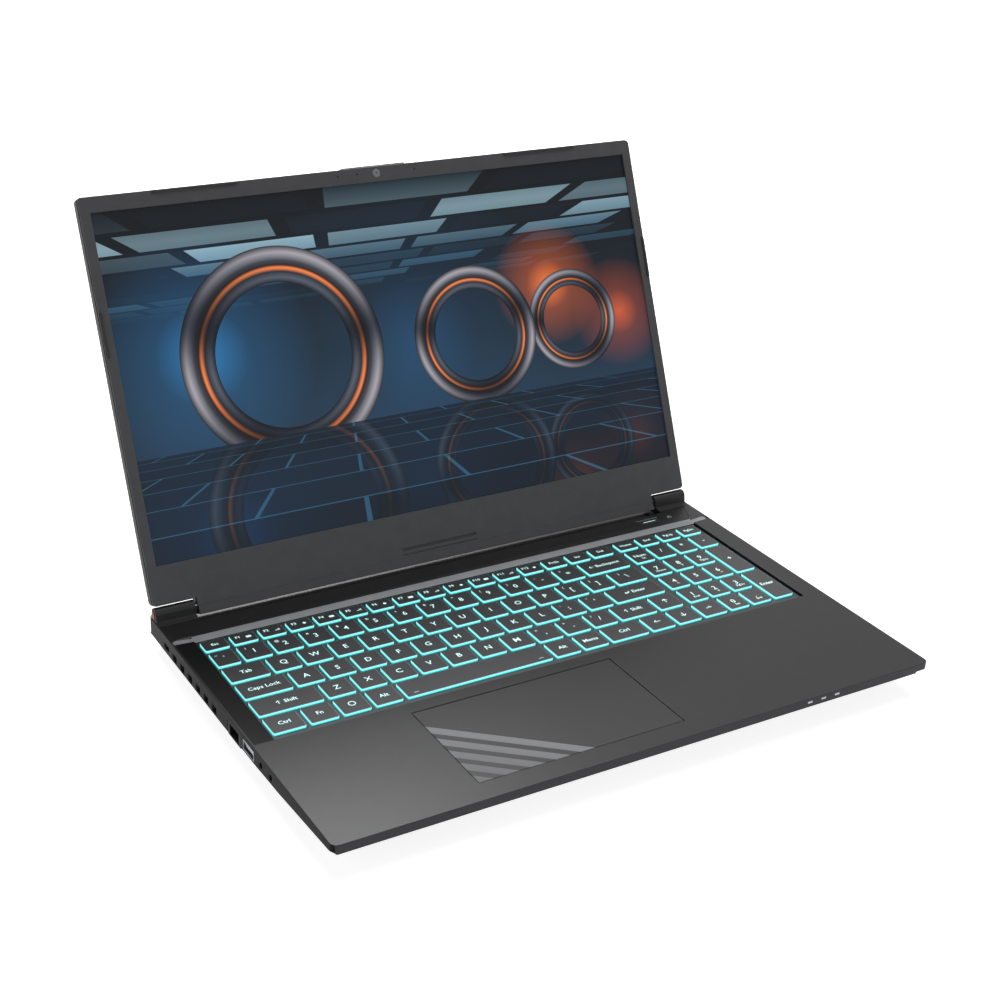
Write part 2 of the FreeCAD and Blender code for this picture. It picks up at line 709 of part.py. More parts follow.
def make_bottom_case():
    """Pan with sloping sides under the seam, with vents, screw bosses and board posts."""
    case = Piece("bottom_case")
    def section(y, seam, low, inside):
        rise = "(%s) - (%s)" % (seam, low)
        up, lean = ("case_wall", "lean_wall") if inside else ("0", "0")
        top, wide = "%s + %s" % (seam, up), "half_width - %s + %s" % (lean, up)
        bottom, foot = "(%s) + %s" % (low, up), "half_width - (%s) - %s + %s" % (rise, lean, up)
        return y, [("0 - (%s)" % wide, top), ("0 - (%s)" % foot, bottom), (foot, bottom), (wide, top)]

    front_low = "deck_z - front_skirt - front_lip"
    stations = [(front_seam("front_inset"), front_low, "front_inset"),
                (front_seam("ramp_end"), "foot_height", "ramp_end"),
                ("deck_z - mid_skirt", "foot_height", "mid_skirt_y"),
                ("skirt_z", "foot_height", "rear_skirt_y"),
                ("skirt_z", "foot_height", "base_depth - rim_width")]
    inset = ["case_wall", "0", "0", "0", "0 - case_wall"]
    case.loft("AdditiveLoft", [section(y, seam, low, False) for seam, low, y in stations])
    case.loft("SubtractiveLoft", [section("%s + %s" % (y, move), seam, low, True)
                                  for (seam, low, y), move in zip(stations, inset)])

    screws = screw_places()
    inner = "foot_height + screw_head"
    case.pad([ring(x, y, "boss_radius") for x, y in screws], inner, "foot_height + screw_length")
    case.pad([ring(x, y, "post_radius") for x, y in board_posts()], inner, "board_low")
    case.pad([ring(x, y, "post_radius") for x, y in io_posts()], inner, "io_low")
    case.pocket([ring(x, y, "screw_head_radius + screw_clearance") for x, y in screws],
                "foot_height - rim_width", "foot_height + screw_head")
    case.pocket([ring(x, y, "screw_radius + screw_clearance") for x, y in screws],
                "foot_height", "foot_height + screw_length + rim_width")
    # Air inlets under the fans, speaker slots and the room of the network socket
    slots = []
    for side in SIDES.values():
        for i in range(-4, 5):
            low, high = span(side, "fan_x - fan_width / 3", "fan_x + fan_width / 3")
            slots.append(rect(low, high, "fan_y + %d * grille_slot * 2" % i,
                              "fan_y + %d * grille_slot * 2 + grille_slot" % i))
        for i in range(3):
            low, high = span(side, "battery_half + 2 * inside_gap", "speaker_out - inside_gap")
            slots.append(rect(low, high, "battery_front + (%d + 1) * grille_slot * 2 - grille_slot" % i,
                              "battery_front + (%d + 1) * grille_slot * 2" % i))
    case.pocket(slots, "foot_height - rim_width", "floor_z + rim_width / 4")
    room = rect("0 - half_width - rim_width", "fit_gap - port_back", "rj_y - rj_width / 2 - fit_gap",
                "rj_y + rj_width / 2 + fit_gap")
    case.pocket([room], "rj_low - fit_gap", "deck_z")


def screw_places():
    """Centres of the screws that hold the bottom case, as x and y."""
    front = [("%d * battery_half / 3" % i, "boss_y") for i in (-3, -1, 1, 3)]
    middle = [("%d * (fan_x - fan_width / 2) / 2" % i, "fan_y") for i in (-1, 1)]
    rear = [("%d * fan_x / 2" % i, "screw_rear_y") for i in (-1, 0, 1)]
    return front + middle + rear


def board_posts():
    """Centres of the posts under the main board."""
    return [("%d * battery_half / 2" % i, y) for i in (-2, -1, 0, 1, 2)
            for y in ("board_y + 2 * post_radius", "board_rear - 2 * post_radius")]


def io_posts():
    """Centres of the posts under the two socket boards."""
    places = {"left": ("jack_front_y", "usb_y"), "right": ("card_y", "right_usb_y")}
    return [("%d * (port_back - post_radius - inside_gap)" % side, y) for name, side in SIDES.items()
            for y in places[name]]


def make_touchpad():
    """Clicking touchpad with its rear rib, and the plate under it."""
    bracket = Piece("touchpad_bracket")
    bracket.pad([rect("pad_left - bracket_edge", "pad_right + bracket_edge", "pad_front - bracket_edge",
                      "pad_rear + bracket_thickness")],
                "under_deck - bracket_thickness", "under_deck")
    pad = Piece("touchpad")
    pad.pad([rect("pad_left + pad_gap", "pad_right - pad_gap", "pad_front + pad_gap", "pad_rear - pad_gap")],
            "pad_low", "pad_top")
    pad.pad([rect("pad_left + bracket_edge", "pad_right - bracket_edge", "pad_rear - pad_gap - pad_rib",
                  "pad_rear - pad_gap")], "under_deck + fit_gap / 2", "pad_low")


def make_power_button():
    """Button cap in the rear deck with a flange that keeps it from falling out."""
    button = Piece("power_button")
    button.pad([centred("button_x", "button_y", "button_width - 2 * button_gap",
                        "button_depth - 2 * button_gap")], "under_deck - fit_gap", "deck_z")
    button.pad([centred("button_x", "button_y", "button_width + 2 * button_flange",
                        "button_depth + 2 * button_flange")],
               "under_deck - fit_gap - button_flange_thickness", "under_deck - fit_gap")


def make_front_indicators():
    """Light windows in the front edge."""
    lights = Piece("front_indicators")
    lights.pad([centred("half_width - led_inset - %d * led_pitch" % i, "deck_z - led_drop",
                        "led_width", "led_height") for i in range(3)], "0", "led_depth", XZ)


def make_towers():
    """Hinge towers at both ends of the base, each hollow round its hinge barrel, and their end trims."""
    profile = [("hinge_y - tower_foot - tower_apron", "deck_z"), ("hinge_y + tower_foot", "deck_z"),
               ("hinge_y + tangent_y", "hinge_z + tangent_z"), ("hinge_y - tangent_y", "hinge_z + tangent_z"),
               ("hinge_y - tower_foot + apron_height / 3", "deck_z + apron_height")]
    hollow = "tower_radius - tower_wall"
    for name, side in SIDES.items():
        tower = Piece("hinge_tower_" + name)
        low, high = span(side, "tower_in", "tower_out")
        tower.pad([profile], low, high, YZ)
        tower.pad([ring("hinge_y", "hinge_z", "tower_radius")], low, high, YZ)
        low, high = span(side, "tower_in + tower_end_wall", "tower_out - tower_end_wall")
        tower.pocket([ring("hinge_y", "hinge_z", hollow)], low, high, YZ)
        tower.pocket([rect("hinge_y - (%s)" % hollow, "hinge_y + %s" % hollow, "deck_z", "hinge_z")],
                     low, high, YZ)
        low, high = span(side, "tower_in - rim_width", "tower_in + tower_end_wall + rim_width")
        tower.pocket([ring("hinge_y", "hinge_z", "pin_radius + pin_hole_gap")], low, high, YZ)
    low, high = "deck_z + tower_wall", "hinge_z + tower_radius / 2"
    accent = [("hinge_y - tower_foot / 2", low), ("hinge_y + tower_foot / 2", low),
              ("hinge_y + tower_wall", high), ("hinge_y - tower_wall", high)]
    trims = Piece("tower_accents")
    for side in SIDES.values():
        low, high = span(side, "tower_out", "tower_out + accent_thickness")
        trims.pad([accent], low, high, YZ)


def make_hinges():
    """Base brackets with barrels, the pins that turn in them and the arms in the lid."""
    barrel_in = "tower_in + tower_end_wall + pin_in_lid / 4"
    barrel_out = barrel_in + " + barrel_length"
    for name, side in SIDES.items():
        bracket = Piece("hinge_bracket_" + name)
        low, high = span(side, "tower_in + tower_end_wall", "inner_half - fit_gap")
        bracket.pad([rect(low, high, "base_depth - case_wall - fit_gap - hinge_plate_length",
                          "base_depth - case_wall - fit_gap")], "under_shelf - hinge_plate", "under_shelf")
        low, high = span(side, barrel_in, barrel_out)
        bracket.pad([rect(low, high, "hinge_y - upright_thickness / 2", "hinge_y + upright_thickness / 2")],
                    "under_shelf", "hinge_z")
        bracket.pad([ring("hinge_y", "hinge_z", "barrel_radius")], low, high, YZ)
        bracket.pocket([ring("hinge_y", "hinge_z", "pin_radius + pin_clearance")], low, high, YZ)
        arm = Piece("hinge_arm_" + name, on_lid=True)
        end = "centre_half - lid_wall - fit_gap"
        low, high = span(side, end + " - arm_length", end)
        arm.pad([rect(low, high, "0 - 2 * pin_radius", "arm_height")], "lid_floor", "lid_floor + hinge_plate")
        low, high = span(side, "centre_half - pin_in_lid", end)
        arm.pad([rect(low, high, "0 - 2 * pin_radius", "2 * pin_radius")], "lid_floor + hinge_plate", "0")
        arm.pocket([ring("0", "0", "pin_radius")], low, high, YZ)
    pins = Piece("hinge_pins", on_lid=True)
    for side in SIDES.values():
        low, high = span(side, "centre_half - pin_in_lid", barrel_out)
        pins.pad([ring("0", "0", "pin_radius")], low, high, YZ)


def lid_outline(inset, notch, foot):
    """Outline of the lid with the tower notches at its lower corners."""
    edge, middle = "half_width - %s" % inset, "centre_half - %s" % inset
    rise = "%s + %s" % (notch, inset)
    return [("0 - (%s)" % middle, foot), (middle, foot), (middle, rise), (edge, rise),
            (edge, "lid_top - %s" % inset), ("0 - (%s)" % edge, "lid_top - %s" % inset),
            ("0 - (%s)" % edge, rise), ("0 - (%s)" % middle, rise)]


def make_lid():
    """Back cover, bezel, hinge cover, screen panel, camera and bumpers."""
    cover = Piece("lid_back_cover", on_lid=True)
    cover.pad([lid_outline("0", "cover_notch", "0 - lip_drop")], "back_z", "rim_z")
    half, top, notch = size("half_width"), size("lid_top"), size("cover_notch")
    corners = [(x, y) for x in (-half, half) for y in (top, notch)]
    cover.round("lid_corner", stands_at(2, corners))
    cover.pocket([lid_outline("lid_wall", "cover_notch", "lid_wall - lip_drop")], "lid_floor", "rim_z")
    cover.pad([rect("0 - lip_ridge / 2", "lip_ridge / 2", "lid_top - lid_wall",
                    "lid_top + lip_ridge_height")], "back_z", "0")
    for side in SIDES.values():
        low, high = span(side, "centre_half - lid_wall - fit_gap", "centre_half + fit_gap")
        cover.pocket([ring("0", "0", "pin_radius + pin_hole_gap")], low, high, YZ)

    bezel = Piece("screen_bezel", on_lid=True)
    outline = lid_outline("bezel_inset", "notch_rise - bezel_inset", "0")
    screen = rect("0 - screen_half", "screen_half", "chin", "screen_top")
    bezel.pad([outline, screen], "rim_z", "face_z")
    half, top, notch = size("half_width - bezel_inset"), size("lid_top - bezel_inset"), size("notch_rise")
    corners = [(x, y) for x in (-half, half) for y in (top, notch)]
    bezel.round("lid_corner - bezel_inset", stands_at(2, corners))
    holes = [ring("0", "camera_y", "camera_radius + camera_gap")]
    holes += [ring("%d * mic_offset" % side, "camera_y", "mic_radius") for side in (-1, 1)]
    holes.append(ring("0 - mic_offset / 2", "camera_y", "mic_radius"))
    bezel.pocket(holes, "rim_z", "face_z")
    bezel.pocket([centred("0", "slot_rise", "slot_length", "slot_height"),
                  centred("0", "slit_rise", "slot_length", "slit_height")], "face_z - slot_depth", "face_z")

    lip = [("0", "face_z"), ("0 - lip_drop", "face_z + lip_proud"), ("0 - lip_drop", "rim_z"),
           ("lid_wall - lip_drop", "rim_z"), ("lid_wall - lip_drop", "face_z"), ("0", "rim_z")]
    hinge_cover = Piece("hinge_cover", on_lid=True)
    hinge_cover.pad([lip], "bezel_inset - centre_half", "centre_half - bezel_inset", YZ)

    panel = Piece("display_panel", on_lid=True)
    panel.pad([rect("0 - screen_half - panel_edge", "screen_half + panel_edge", "chin - panel_foot",
                    "screen_top + panel_edge")], "rim_z - panel_gap - panel_thickness", "rim_z - panel_gap")

    camera = Piece("webcam", on_lid=True)
    camera.pad([centred("0", "screen_top + panel_edge + camera_board_height / 2 + fit_gap", "camera_board",
                        "camera_board_height")], "rim_z - camera_board_thickness", "rim_z")
    camera.pad([ring("0", "camera_y", "camera_radius")], "rim_z", "face_z - camera_gap")

    bumpers = Piece("lid_bumpers", on_lid=True)
    strips = []
    for side in SIDES.values():
        low, high = span(side, "bumper_inner", "bumper_inner + bumper_length")
        strips.append(rect(low, high, "lid_top - bumper_inset - bumper_width", "lid_top - bumper_inset"))
        low, high = span(side, "half_width - bumper_inset - bumper_width", "half_width - bumper_inset")
        strips.append(rect(low, high, "chin + side_bumper_low",
                           "chin + side_bumper_low + side_bumper_length"))
    bumpers.pad(strips, "face_z", "face_z + bumper_height")


def shell_socket(piece, side, y, width, low, high, tongue):
    """Socket shell in a side wall: a box open outwards with a contact tongue in it."""
    back, face = span(side, "port_back", "port_face")
    piece.pad([rect(back, face, "%s - %s / 2" % (y, width), "%s + %s / 2" % (y, width))], low, high)
    mouth_low, mouth_high = span(side, "port_back + port_wall", "port_face + rim_width")
    mouth = rect("%s - %s / 2 + port_wall" % (y, width), "%s + %s / 2 - port_wall" % (y, width),
                 "%s + port_wall" % low, "%s - port_wall" % high)
    piece.pocket([mouth], mouth_low, mouth_high, YZ)
    blade_low, blade_high = span(side, "port_back", "port_face - port_wall * 2")
    middle = "((%s) + (%s)) / 2" % (low, high)
    blade = rect(blade_low, blade_high, "%s - %s / 2 + 2 * port_wall" % (y, width),
                 "%s + %s / 2 - 2 * port_wall" % (y, width))
    piece.pad([blade], "%s - %s / 2" % (middle, tongue), "%s + %s / 2" % (middle, tongue))


def make_ports():
    """Sockets in the sides and the rear, and the two boards that carry the side sockets."""
    boards = Piece("io_boards")
    spans = {"left": ("jack_front_y - jack_width", "usb_y + usb_width / 2"),
             "right": ("card_y - card_width / 2", "right_usb_y + right_usb_pitch + usb_width / 2")}
    for name, side in SIDES.items():
        low, high = span(side, "port_back - io_board_width", "io_edge")
        boards.pad([rect(low, high, *spans[name])], "io_low", "io_top")

    jacks = Piece("audio_jacks")
    back, face = span(-1, "port_face - jack_depth", "port_shoulder")
    nose_low, nose_high = span(-1, "port_shoulder", "port_face")
    bore_low, bore_high = span(-1, "port_face - jack_bore_length", "port_face + rim_width")
    jacks.pad([rect(back, face, "%s - jack_width / 2" % y, "%s + jack_width / 2" % y) for y in JACKS],
              "io_top", "port_roof")
    jacks.pad([ring(y, "jack_z", "jack_nose") for y in JACKS], nose_low, nose_high, YZ)
    jacks.pocket([ring(y, "jack_z", "jack_bore") for y in JACKS], bore_low, bore_high, YZ)

    usb = Piece("usb_jacks")
    shell_socket(usb, -1, "usb_y", "usb_width", "io_top", "port_roof", "usb_tongue")
    for y in RIGHT_USB:
        shell_socket(usb, 1, y, "usb_width", "io_top", "port_roof", "usb_tongue")
    shell_socket(Piece("usb_c_jack"), 1, "usb_c_y", "usb_c_width", "io_top", "io_top + usb_c_height",
                 "port_wall * 1.4")
    shell_socket(Piece("card_reader"), 1, "card_y", "card_width", "io_top", "io_top + card_height",
                 "port_wall")

    network = Piece("network_jack")
    back, face = span(-1, "port_back", "port_face")
    network.pad([rect(back, face, "rj_y - rj_width / 2", "rj_y + rj_width / 2")], "rj_low", "port_roof")
    low, high = span(-1, "port_face - rj_opening_depth", "port_face + rim_width")
    network.pocket([centred("rj_y", "(rj_low + port_roof) / 2", "rj_opening_width", "rj_opening_height")],
                   low, high, YZ)

    shell_socket(Piece("power_inlet"), 1, "inlet_y", "inlet_width", "inlet_low", "port_roof", "usb_tongue")

    video = Piece("hdmi_jack")
    low, high = "under_shelf - fit_gap - hdmi_height", "under_shelf - fit_gap"
    left, right = "hdmi_x - hdmi_width / 2", "hdmi_x + hdmi_width / 2"
    video.pad([rect(left, right, "base_depth - rear_port_depth", "base_depth - port_proud")], low, high)
    video.pocket([rect(left + " + port_wall", right + " - port_wall", low + " + port_wall",
                       high + " - port_wall")],
                 "base_depth - rear_port_depth + port_wall", "base_depth + rim_width", XZ)
    video.pad([rect(left + " + 2 * port_wall", right + " - 2 * port_wall",
                    "(%s + %s) / 2 - port_wall" % (low, high), "(%s + %s) / 2 + port_wall" % (low, high))],
              "base_depth - rear_port_depth", "base_depth - port_proud - port_wall", XZ)


def make_boards():
    """Main board with its processors, memory, drive and wireless card, the battery and the speakers."""
    board = Piece("motherboard")
    edge = "battery_half + speaker_length / 2"
    board.pad([rect("0 - (%s)" % edge, edge, "board_y", "board_rear")], "board_low", "board_top")
    chips = Piece("processors")
    chips.pad([centred("%d * chip_x" % side, "(board_y + board_rear) / 2", "chip_width", "chip_depth")
               for side in SIDES.values()], "board_top", "chip_top")
    right = edge + " - inside_gap"
    left = "inside_gap - battery_half - speaker_length / 2"
    lifted = "board_top + module_lift"

    memory = Piece("memory_modules")
    places = [rect(left, left + " + module_length", "board_y", "board_y + module_depth"),
              rect(right + " - module_length", right, "board_y", "board_y + module_depth")]
    feet = [rect(left, left + " + module_length", "board_y", "board_y + module_foot"),
            rect(right + " - module_length", right, "board_y", "board_y + module_foot")]
    memory.pad(places, lifted, lifted + " + module_thickness")
    memory.pad(feet, "board_top", lifted)

    low, high = "board_y + module_depth + inside_gap", "board_y + module_depth + inside_gap + card_depth"
    drive = Piece("solid_state_drive")
    drive.pad([rect(right + " - drive_length", right, low, high)], lifted, lifted + " + module_thickness")
    drive.pad([rect(right + " - module_foot", right, low, high)], "board_top", lifted)
    wireless = Piece("wireless_card")
    wireless.pad([rect(left, left + " + wireless_length", low, high)], lifted, lifted + " + module_thickness")
    wireless.pad([rect(left, left + " + module_foot", low, high)], "board_top", lifted)

    battery = Piece("battery_pack")
    battery.pad([rect("0 - battery_half", "battery_half", "battery_front", "battery_front + battery_depth")],
                "floor_z", "floor_z + battery_height")
    speakers = Piece("speakers")
    boxes = rect("speaker_out - speaker_length", "speaker_out", "battery_front",
                 "battery_front + speaker_depth")
    speakers.pad([boxes, mirrored(boxes)], "floor_z", "floor_z + speaker_height")


def make_cooling():
    """Heat sink with its pipes, fin stacks, fan housings and fan wheels."""
    sink = Piece("heat_sink")
    sink.pad([centred("0", "(board_y + board_rear) / 2", "2 * chip_x + chip_width", "chip_depth")],
             "chip_top", "pipe_low")
    start, inner, outer = "(board_y + board_rear) / 2", "pipe_x + pipe_width", "fan_x + fan_width / 2"
    near, far = "pipe_y - pipe_width / 2", "pipe_y + pipe_width / 2"
    pipe = [("pipe_x", start), (inner, start), (inner, near), (outer, near), (outer, far), ("pipe_x", far)]
    sink.pad([pipe, mirrored(pipe)], "pipe_low", "pipe_low + pipe_thickness")

    fins = Piece("fin_stacks")
    bases, blades = [], []
    for i in range(COUNTS["fins"]):
        x = "fan_x + (%d - %d / 2) * fin_pitch" % (i, COUNTS["fins"] - 1)
        blades.append(rect("%s - fin_thickness / 2" % x, "%s + fin_thickness / 2" % x,
                           "fin_front", "fin_rear"))
    bases.append(centred("fan_x", "pipe_y", "%d * fin_pitch" % COUNTS["fins"], "fin_depth"))
    fins.pad(bases + [mirrored(loop) for loop in bases], "floor_z", "fan_base")
    fins.pad(blades + [mirrored(loop) for loop in blades], "fan_base", "pipe_low")

    for name, side in SIDES.items():
        x = "%d * fan_x" % side
        housing = Piece("fan_housing_" + name)
        housing.pad([centred(x, "fan_y", "fan_width", "fan_depth")], "floor_z", "floor_z + fan_height")
        housing.pocket([ring(x, "fan_y", "fan_cavity_radius")], "fan_base", "floor_z + fan_height")
        housing.pocket([rect("%s - fan_cavity_radius" % x, "%s + fan_cavity_radius" % x, "fan_y",
                             "fan_rear + rim_width")], "fan_base", "floor_z + fan_height")
        housing.pad([ring(x, "fan_y", "axle_radius")], "fan_base", "floor_z + fan_height - impeller_lift")

        wheel = Piece("fan_impeller_" + name, at=(x, "fan_y", "0"))
        low, high = "fan_base + impeller_lift", "floor_z + fan_height - impeller_lift"
        bore = ring("0", "0", "axle_radius + axle_clearance")
        hub = wheel.pad([ring("0", "0", "hub_radius"), bore], low, high)
        blade = wheel.pad([rect("hub_radius - blade_thickness", "impeller_radius", "0 - blade_thickness / 2",
                                "blade_thickness / 2")], low, high)
        fan = wheel.body.newObject("PartDesign::PolarPattern", wheel.body.Name + "_blades")
        fan.Originals = [blade]
        fan.Axis = (hub.Profile[0], ["N_Axis"])
        fan.Angle = 360
        fan.Occurrences = COUNTS["blades"]
        wheel.body.Tip = fan


def make_underside():
    """Rubber feet and the screws of the bottom case."""
    front = Piece("front_feet")
    foot_y = "battery_front + speaker_depth + inside_gap"
    foot = rect("speaker_out - front_foot_inset - front_foot_length", "speaker_out - front_foot_inset",
                foot_y, foot_y + " + foot_width")
    front.pad([foot, mirrored(foot)], "0", "foot_height")
    rear = Piece("rear_foot")
    rear.pad([centred("0", "base_depth - rear_foot_back", "rear_foot_length", "foot_width")],
             "0", "foot_height")
    screws = Piece("case_screws")
    screws.pad([ring(x, y, "screw_head_radius") for x, y in screw_places()],
               "foot_height", "foot_height + screw_head")
    screws.pad([ring(x, y, "screw_radius") for x, y in screw_places()],
               "foot_height + screw_head", "foot_height + screw_length")


def check_and_export():
    """Stop on any failed object, then write each piece to its own file."""
    doc.recompute()
    failed = [o.Name for o in doc.Objects if "Invalid" in o.State or "Error" in o.State]
    failed += [p.Label for p in pieces if p.Shape.isNull() or not p.Shape.isValid()]
    if failed:
        raise RuntimeError("failed objects: " + ", ".join(failed))
    os.makedirs("parts", exist_ok=True)
    for piece in pieces:
        piece.Shape.exportStep("parts/%s.step" % piece.Label)
        print(piece.Label, len(piece.Shape.Solids), round(piece.Shape.Volume, 1))


fill_sheet()
make_top_case()
make_bottom_case()
make_keyboard()
make_touchpad()
make_power_button()
make_front_indicators()
make_towers()
make_hinges()
make_lid()
make_ports()
make_boards()
make_cooling()
make_underside()
check_and_export()
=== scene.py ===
"""Looks of a clamshell laptop computer with a backlit keyboard, shown open on a pale studio floor."""
import json
import logging
import math
from dataclasses import dataclass, field
from enum import Enum, IntEnum
from functools import partial
from typing import Callable, Iterable

import bmesh
import bpy
from mathutils import Matrix, Quaternion, Vector


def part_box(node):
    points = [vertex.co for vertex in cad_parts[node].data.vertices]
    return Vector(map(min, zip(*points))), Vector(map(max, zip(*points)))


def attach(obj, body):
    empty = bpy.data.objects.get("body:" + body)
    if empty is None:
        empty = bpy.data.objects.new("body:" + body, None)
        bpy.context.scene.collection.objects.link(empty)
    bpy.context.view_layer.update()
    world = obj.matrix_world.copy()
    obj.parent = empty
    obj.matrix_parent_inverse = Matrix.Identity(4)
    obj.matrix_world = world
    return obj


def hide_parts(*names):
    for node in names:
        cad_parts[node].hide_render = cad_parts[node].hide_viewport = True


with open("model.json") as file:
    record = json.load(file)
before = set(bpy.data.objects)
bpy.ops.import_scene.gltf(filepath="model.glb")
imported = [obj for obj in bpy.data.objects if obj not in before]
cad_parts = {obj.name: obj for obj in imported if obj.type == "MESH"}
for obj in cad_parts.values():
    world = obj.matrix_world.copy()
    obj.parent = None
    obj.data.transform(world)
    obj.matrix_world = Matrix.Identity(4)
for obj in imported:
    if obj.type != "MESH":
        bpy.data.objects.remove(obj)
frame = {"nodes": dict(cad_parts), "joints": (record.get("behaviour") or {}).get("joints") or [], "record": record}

LOG = logging.getLogger("laptop")
MM = 0.001
WHITE, BLACK = "#ffffff", "#000000"
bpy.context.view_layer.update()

# Points closer than TOUCH are one point, and an edge steeper than UPRIGHT stands upright.
TOUCH = 1e-6
UPRIGHT = 0.99
# Faces across the rounded corners and edges of a block and across the edge of a disc.
CORNER_FACES, EDGE_FACES, DISC_FACES = 4, 2, 3
# In a copy of a CAD mesh doubles within WELD are merged, triangles as level as FLAT become one face
# and edges sharper than SHARP are rounded.
WELD = 2e-6
FLAT = math.radians(0.5)
SHARP = math.radians(28)
# Solids this close together from front to rear are in one row.
ROW = 9 * MM
# Most of a noise texture's values lie between these two.
NOISE_LOW, NOISE_HIGH = 0.3, 0.7
# Times HALF plus HALF, a value from -1 to 1 becomes one from 0 to 1.
HALF = 0.5
# A Mix node's colours and its result go by number, because their names repeat.
FIRST, SECOND = 6, 7
BLEND = {"out": 2, "data_type": "RGBA"}

Colour = tuple[float, float, float, float]
Point = tuple[float, float, float]
Box = tuple[Vector, Vector]
Piece = bpy.types.Object
Material = bpy.types.Material
Tree = bpy.types.NodeTree
Socket = bpy.types.NodeSocket
Inputs = dict[str | int, object]
AddNode = Callable[..., Socket]
EdgeTest = Callable[[bmesh.types.BMEdge], bool]


def linear(code: str, amount: float = 1.0) -> Colour:
    """Turn an sRGB hex colour into linear light.

    Args:
        code: Colour as six hex digits after a hash.
        amount: Factor that makes it lighter or darker.

    Returns:
        Linear red, green, blue and an alpha of one.
    """
    parts = [int(code[i:i + 2], 16) / 255 for i in (1, 3, 5)]
    light = [c / 12.92 if c <= 0.04045 else ((c + 0.055) / 1.055) ** 2.4 for c in parts]
    return (light[0] * amount, light[1] * amount, light[2] * amount, 1.0)


def feed(tree: Tree, node: bpy.types.Node, inputs: Inputs) -> None:
    """Link or set the inputs of a node.

    Args:
        tree: Node tree of the node.
        node: Node whose inputs are filled.
        inputs: Numbers, hex colours or output sockets by the name or number of the input.
    """
    for key, value in inputs.items():
        if isinstance(value, Socket):
            tree.links.new(value, node.inputs[key])
        else:
            node.inputs[key].default_value = linear(value) if isinstance(value, str) else value


def add_node(tree: Tree, kind: str, inputs: Inputs | tuple = (), out: str | int = 0,
             stops: tuple[tuple, ...] = (), **settings: object) -> Socket:
    """Add one node with its settings and links.

    Args:
        tree: Node tree that gets the node.
        kind: Blender's name of the node type, without ShaderNode in front, and its operation if it has one.
        inputs: Numbers, hex colours or output sockets, by the input's name or number or else in order.
        out: Name or number of the output that is wanted.
        stops: Places from 0 to 1, hex colours and, if wanted, their factors, for a colour ramp.
        settings: Properties of the node itself.

    Returns:
        The wanted output.
    """
    kind, *operation = kind.split()
    node = tree.nodes.new("ShaderNode" + kind)
    if operation:
        node.operation = operation[0]
    for key, value in settings.items():
        setattr(node, key, value)
    feed(tree, node, inputs if isinstance(inputs, dict) else dict(enumerate(inputs)))
    if stops:
        bar = node.color_ramp.elements
        while len(bar) < len(stops):
            bar.new(1.0)
        for element, (place, *colour) in zip(bar, stops):
            element.position = place
            element.color = linear(*colour)
    return node.outputs[out]


def background_ray(node: AddNode) -> Socket:
    """Tell where the camera, a reflection or a view through glass meets the background.

    Args:
        node: Adds a node.

    Returns:
        A socket that is 1 there and 0 elsewhere.
    """
    ray = node("LightPath").node.outputs
    seen = ray["Is Camera Ray"]
    for kind in ("Is Glossy Ray", "Is Transmission Ray"):
        seen = node("Math MAXIMUM", (seen, ray[kind]))
    return seen


@dataclass(frozen=True)
class Finish:
    """A real material and how its surface was made."""

    name: str

    def made(self) -> Material:
        """Make the material, once.

        Returns:
            The material.
        """
        material = bpy.data.materials.get(self.name)
        if material is None:
            material = bpy.data.materials.new(self.name)
            material.use_nodes = True
            tree = material.node_tree
            node = partial(add_node, tree)
            inputs = self.shader(node, node("TexCoord", out="Object"))
            feed(tree, tree.nodes["Principled BSDF"], inputs)
        return material

    def shader(self, node: AddNode, place: Socket) -> Inputs:
        """Work out what the shader is fed; each finish has its own way.

        Args:
            node: Adds a node.
            place: Object coordinates.

        Returns:
            The shader's inputs.
        """
        raise NotImplementedError


@dataclass(frozen=True)
class MouldedPlastic(Finish):
    """Injection-moulded ABS with the fine spark-eroded grain of its mould: soft sheen, faint mottling."""

    colour: str
    roughness: float = 0.5
    # A mould's real grain is too fine to show, so it is drawn this coarse.
    grain_mm: float = 0.45
    relief_mm: float = 0.01
    mottle_mm: float = 9.0
    mottle: float = 0.06
    ior: float = 1.5
    specular: float = 0.2
    gloss_spread: float = 0.05

    def shader(self, node: AddNode, place: Socket) -> Inputs:
        """Mottle the colour and let the grain break the sheen.

        Args:
            node: Adds a node.
            place: Object coordinates.

        Returns:
            The shader's inputs.
        """
        cloud = node("TexNoise", {"Vector": place, "Scale": 1 / (self.mottle_mm * MM), "Detail": 3.0})
        tint = node("ValToRGB", (cloud,), stops=((NOISE_LOW, self.colour, 1 - self.mottle),
                                                 (NOISE_HIGH, self.colour, 1 + self.mottle)))
        grain = node("TexNoise", {"Vector": place, "Scale": 1 / (self.grain_mm * MM), "Detail": 2.0})
        gloss = node("MapRange", {"Value": grain, "From Min": NOISE_LOW, "From Max": NOISE_HIGH,
                                  "To Min": self.roughness - self.gloss_spread,
                                  "To Max": self.roughness + self.gloss_spread})
        bump = node("Bump", {"Height": grain, "Strength": 0.6, "Distance": self.relief_mm * MM})
        return {"Base Color": tint, "Roughness": gloss, "Normal": bump, "IOR": self.ior,
                "Specular IOR Level": self.specular}


@dataclass(frozen=True)
class Rubber(Finish):
    """Moulded nitrile rubber: black, dull, with a slightly dusty bloom."""

    colour: str = "#191919"
    bloom_mm: float = 3.0
    bloom: float = 1.6

    def shader(self, node: AddNode, place: Socket) -> Inputs:
        """Lay the bloom over the black.

        Args:
            node: Adds a node.
            place: Object coordinates.

        Returns:
            The shader's inputs.
        """
        dust = node("TexNoise", {"Vector": place, "Scale": 1 / (self.bloom_mm * MM), "Detail": 4.0})
        tint = node("ValToRGB", (dust,), stops=((0.35, self.colour), (0.75, self.colour, self.bloom)))
        return {"Base Color": tint, "Roughness": 0.8, "IOR": 1.52}


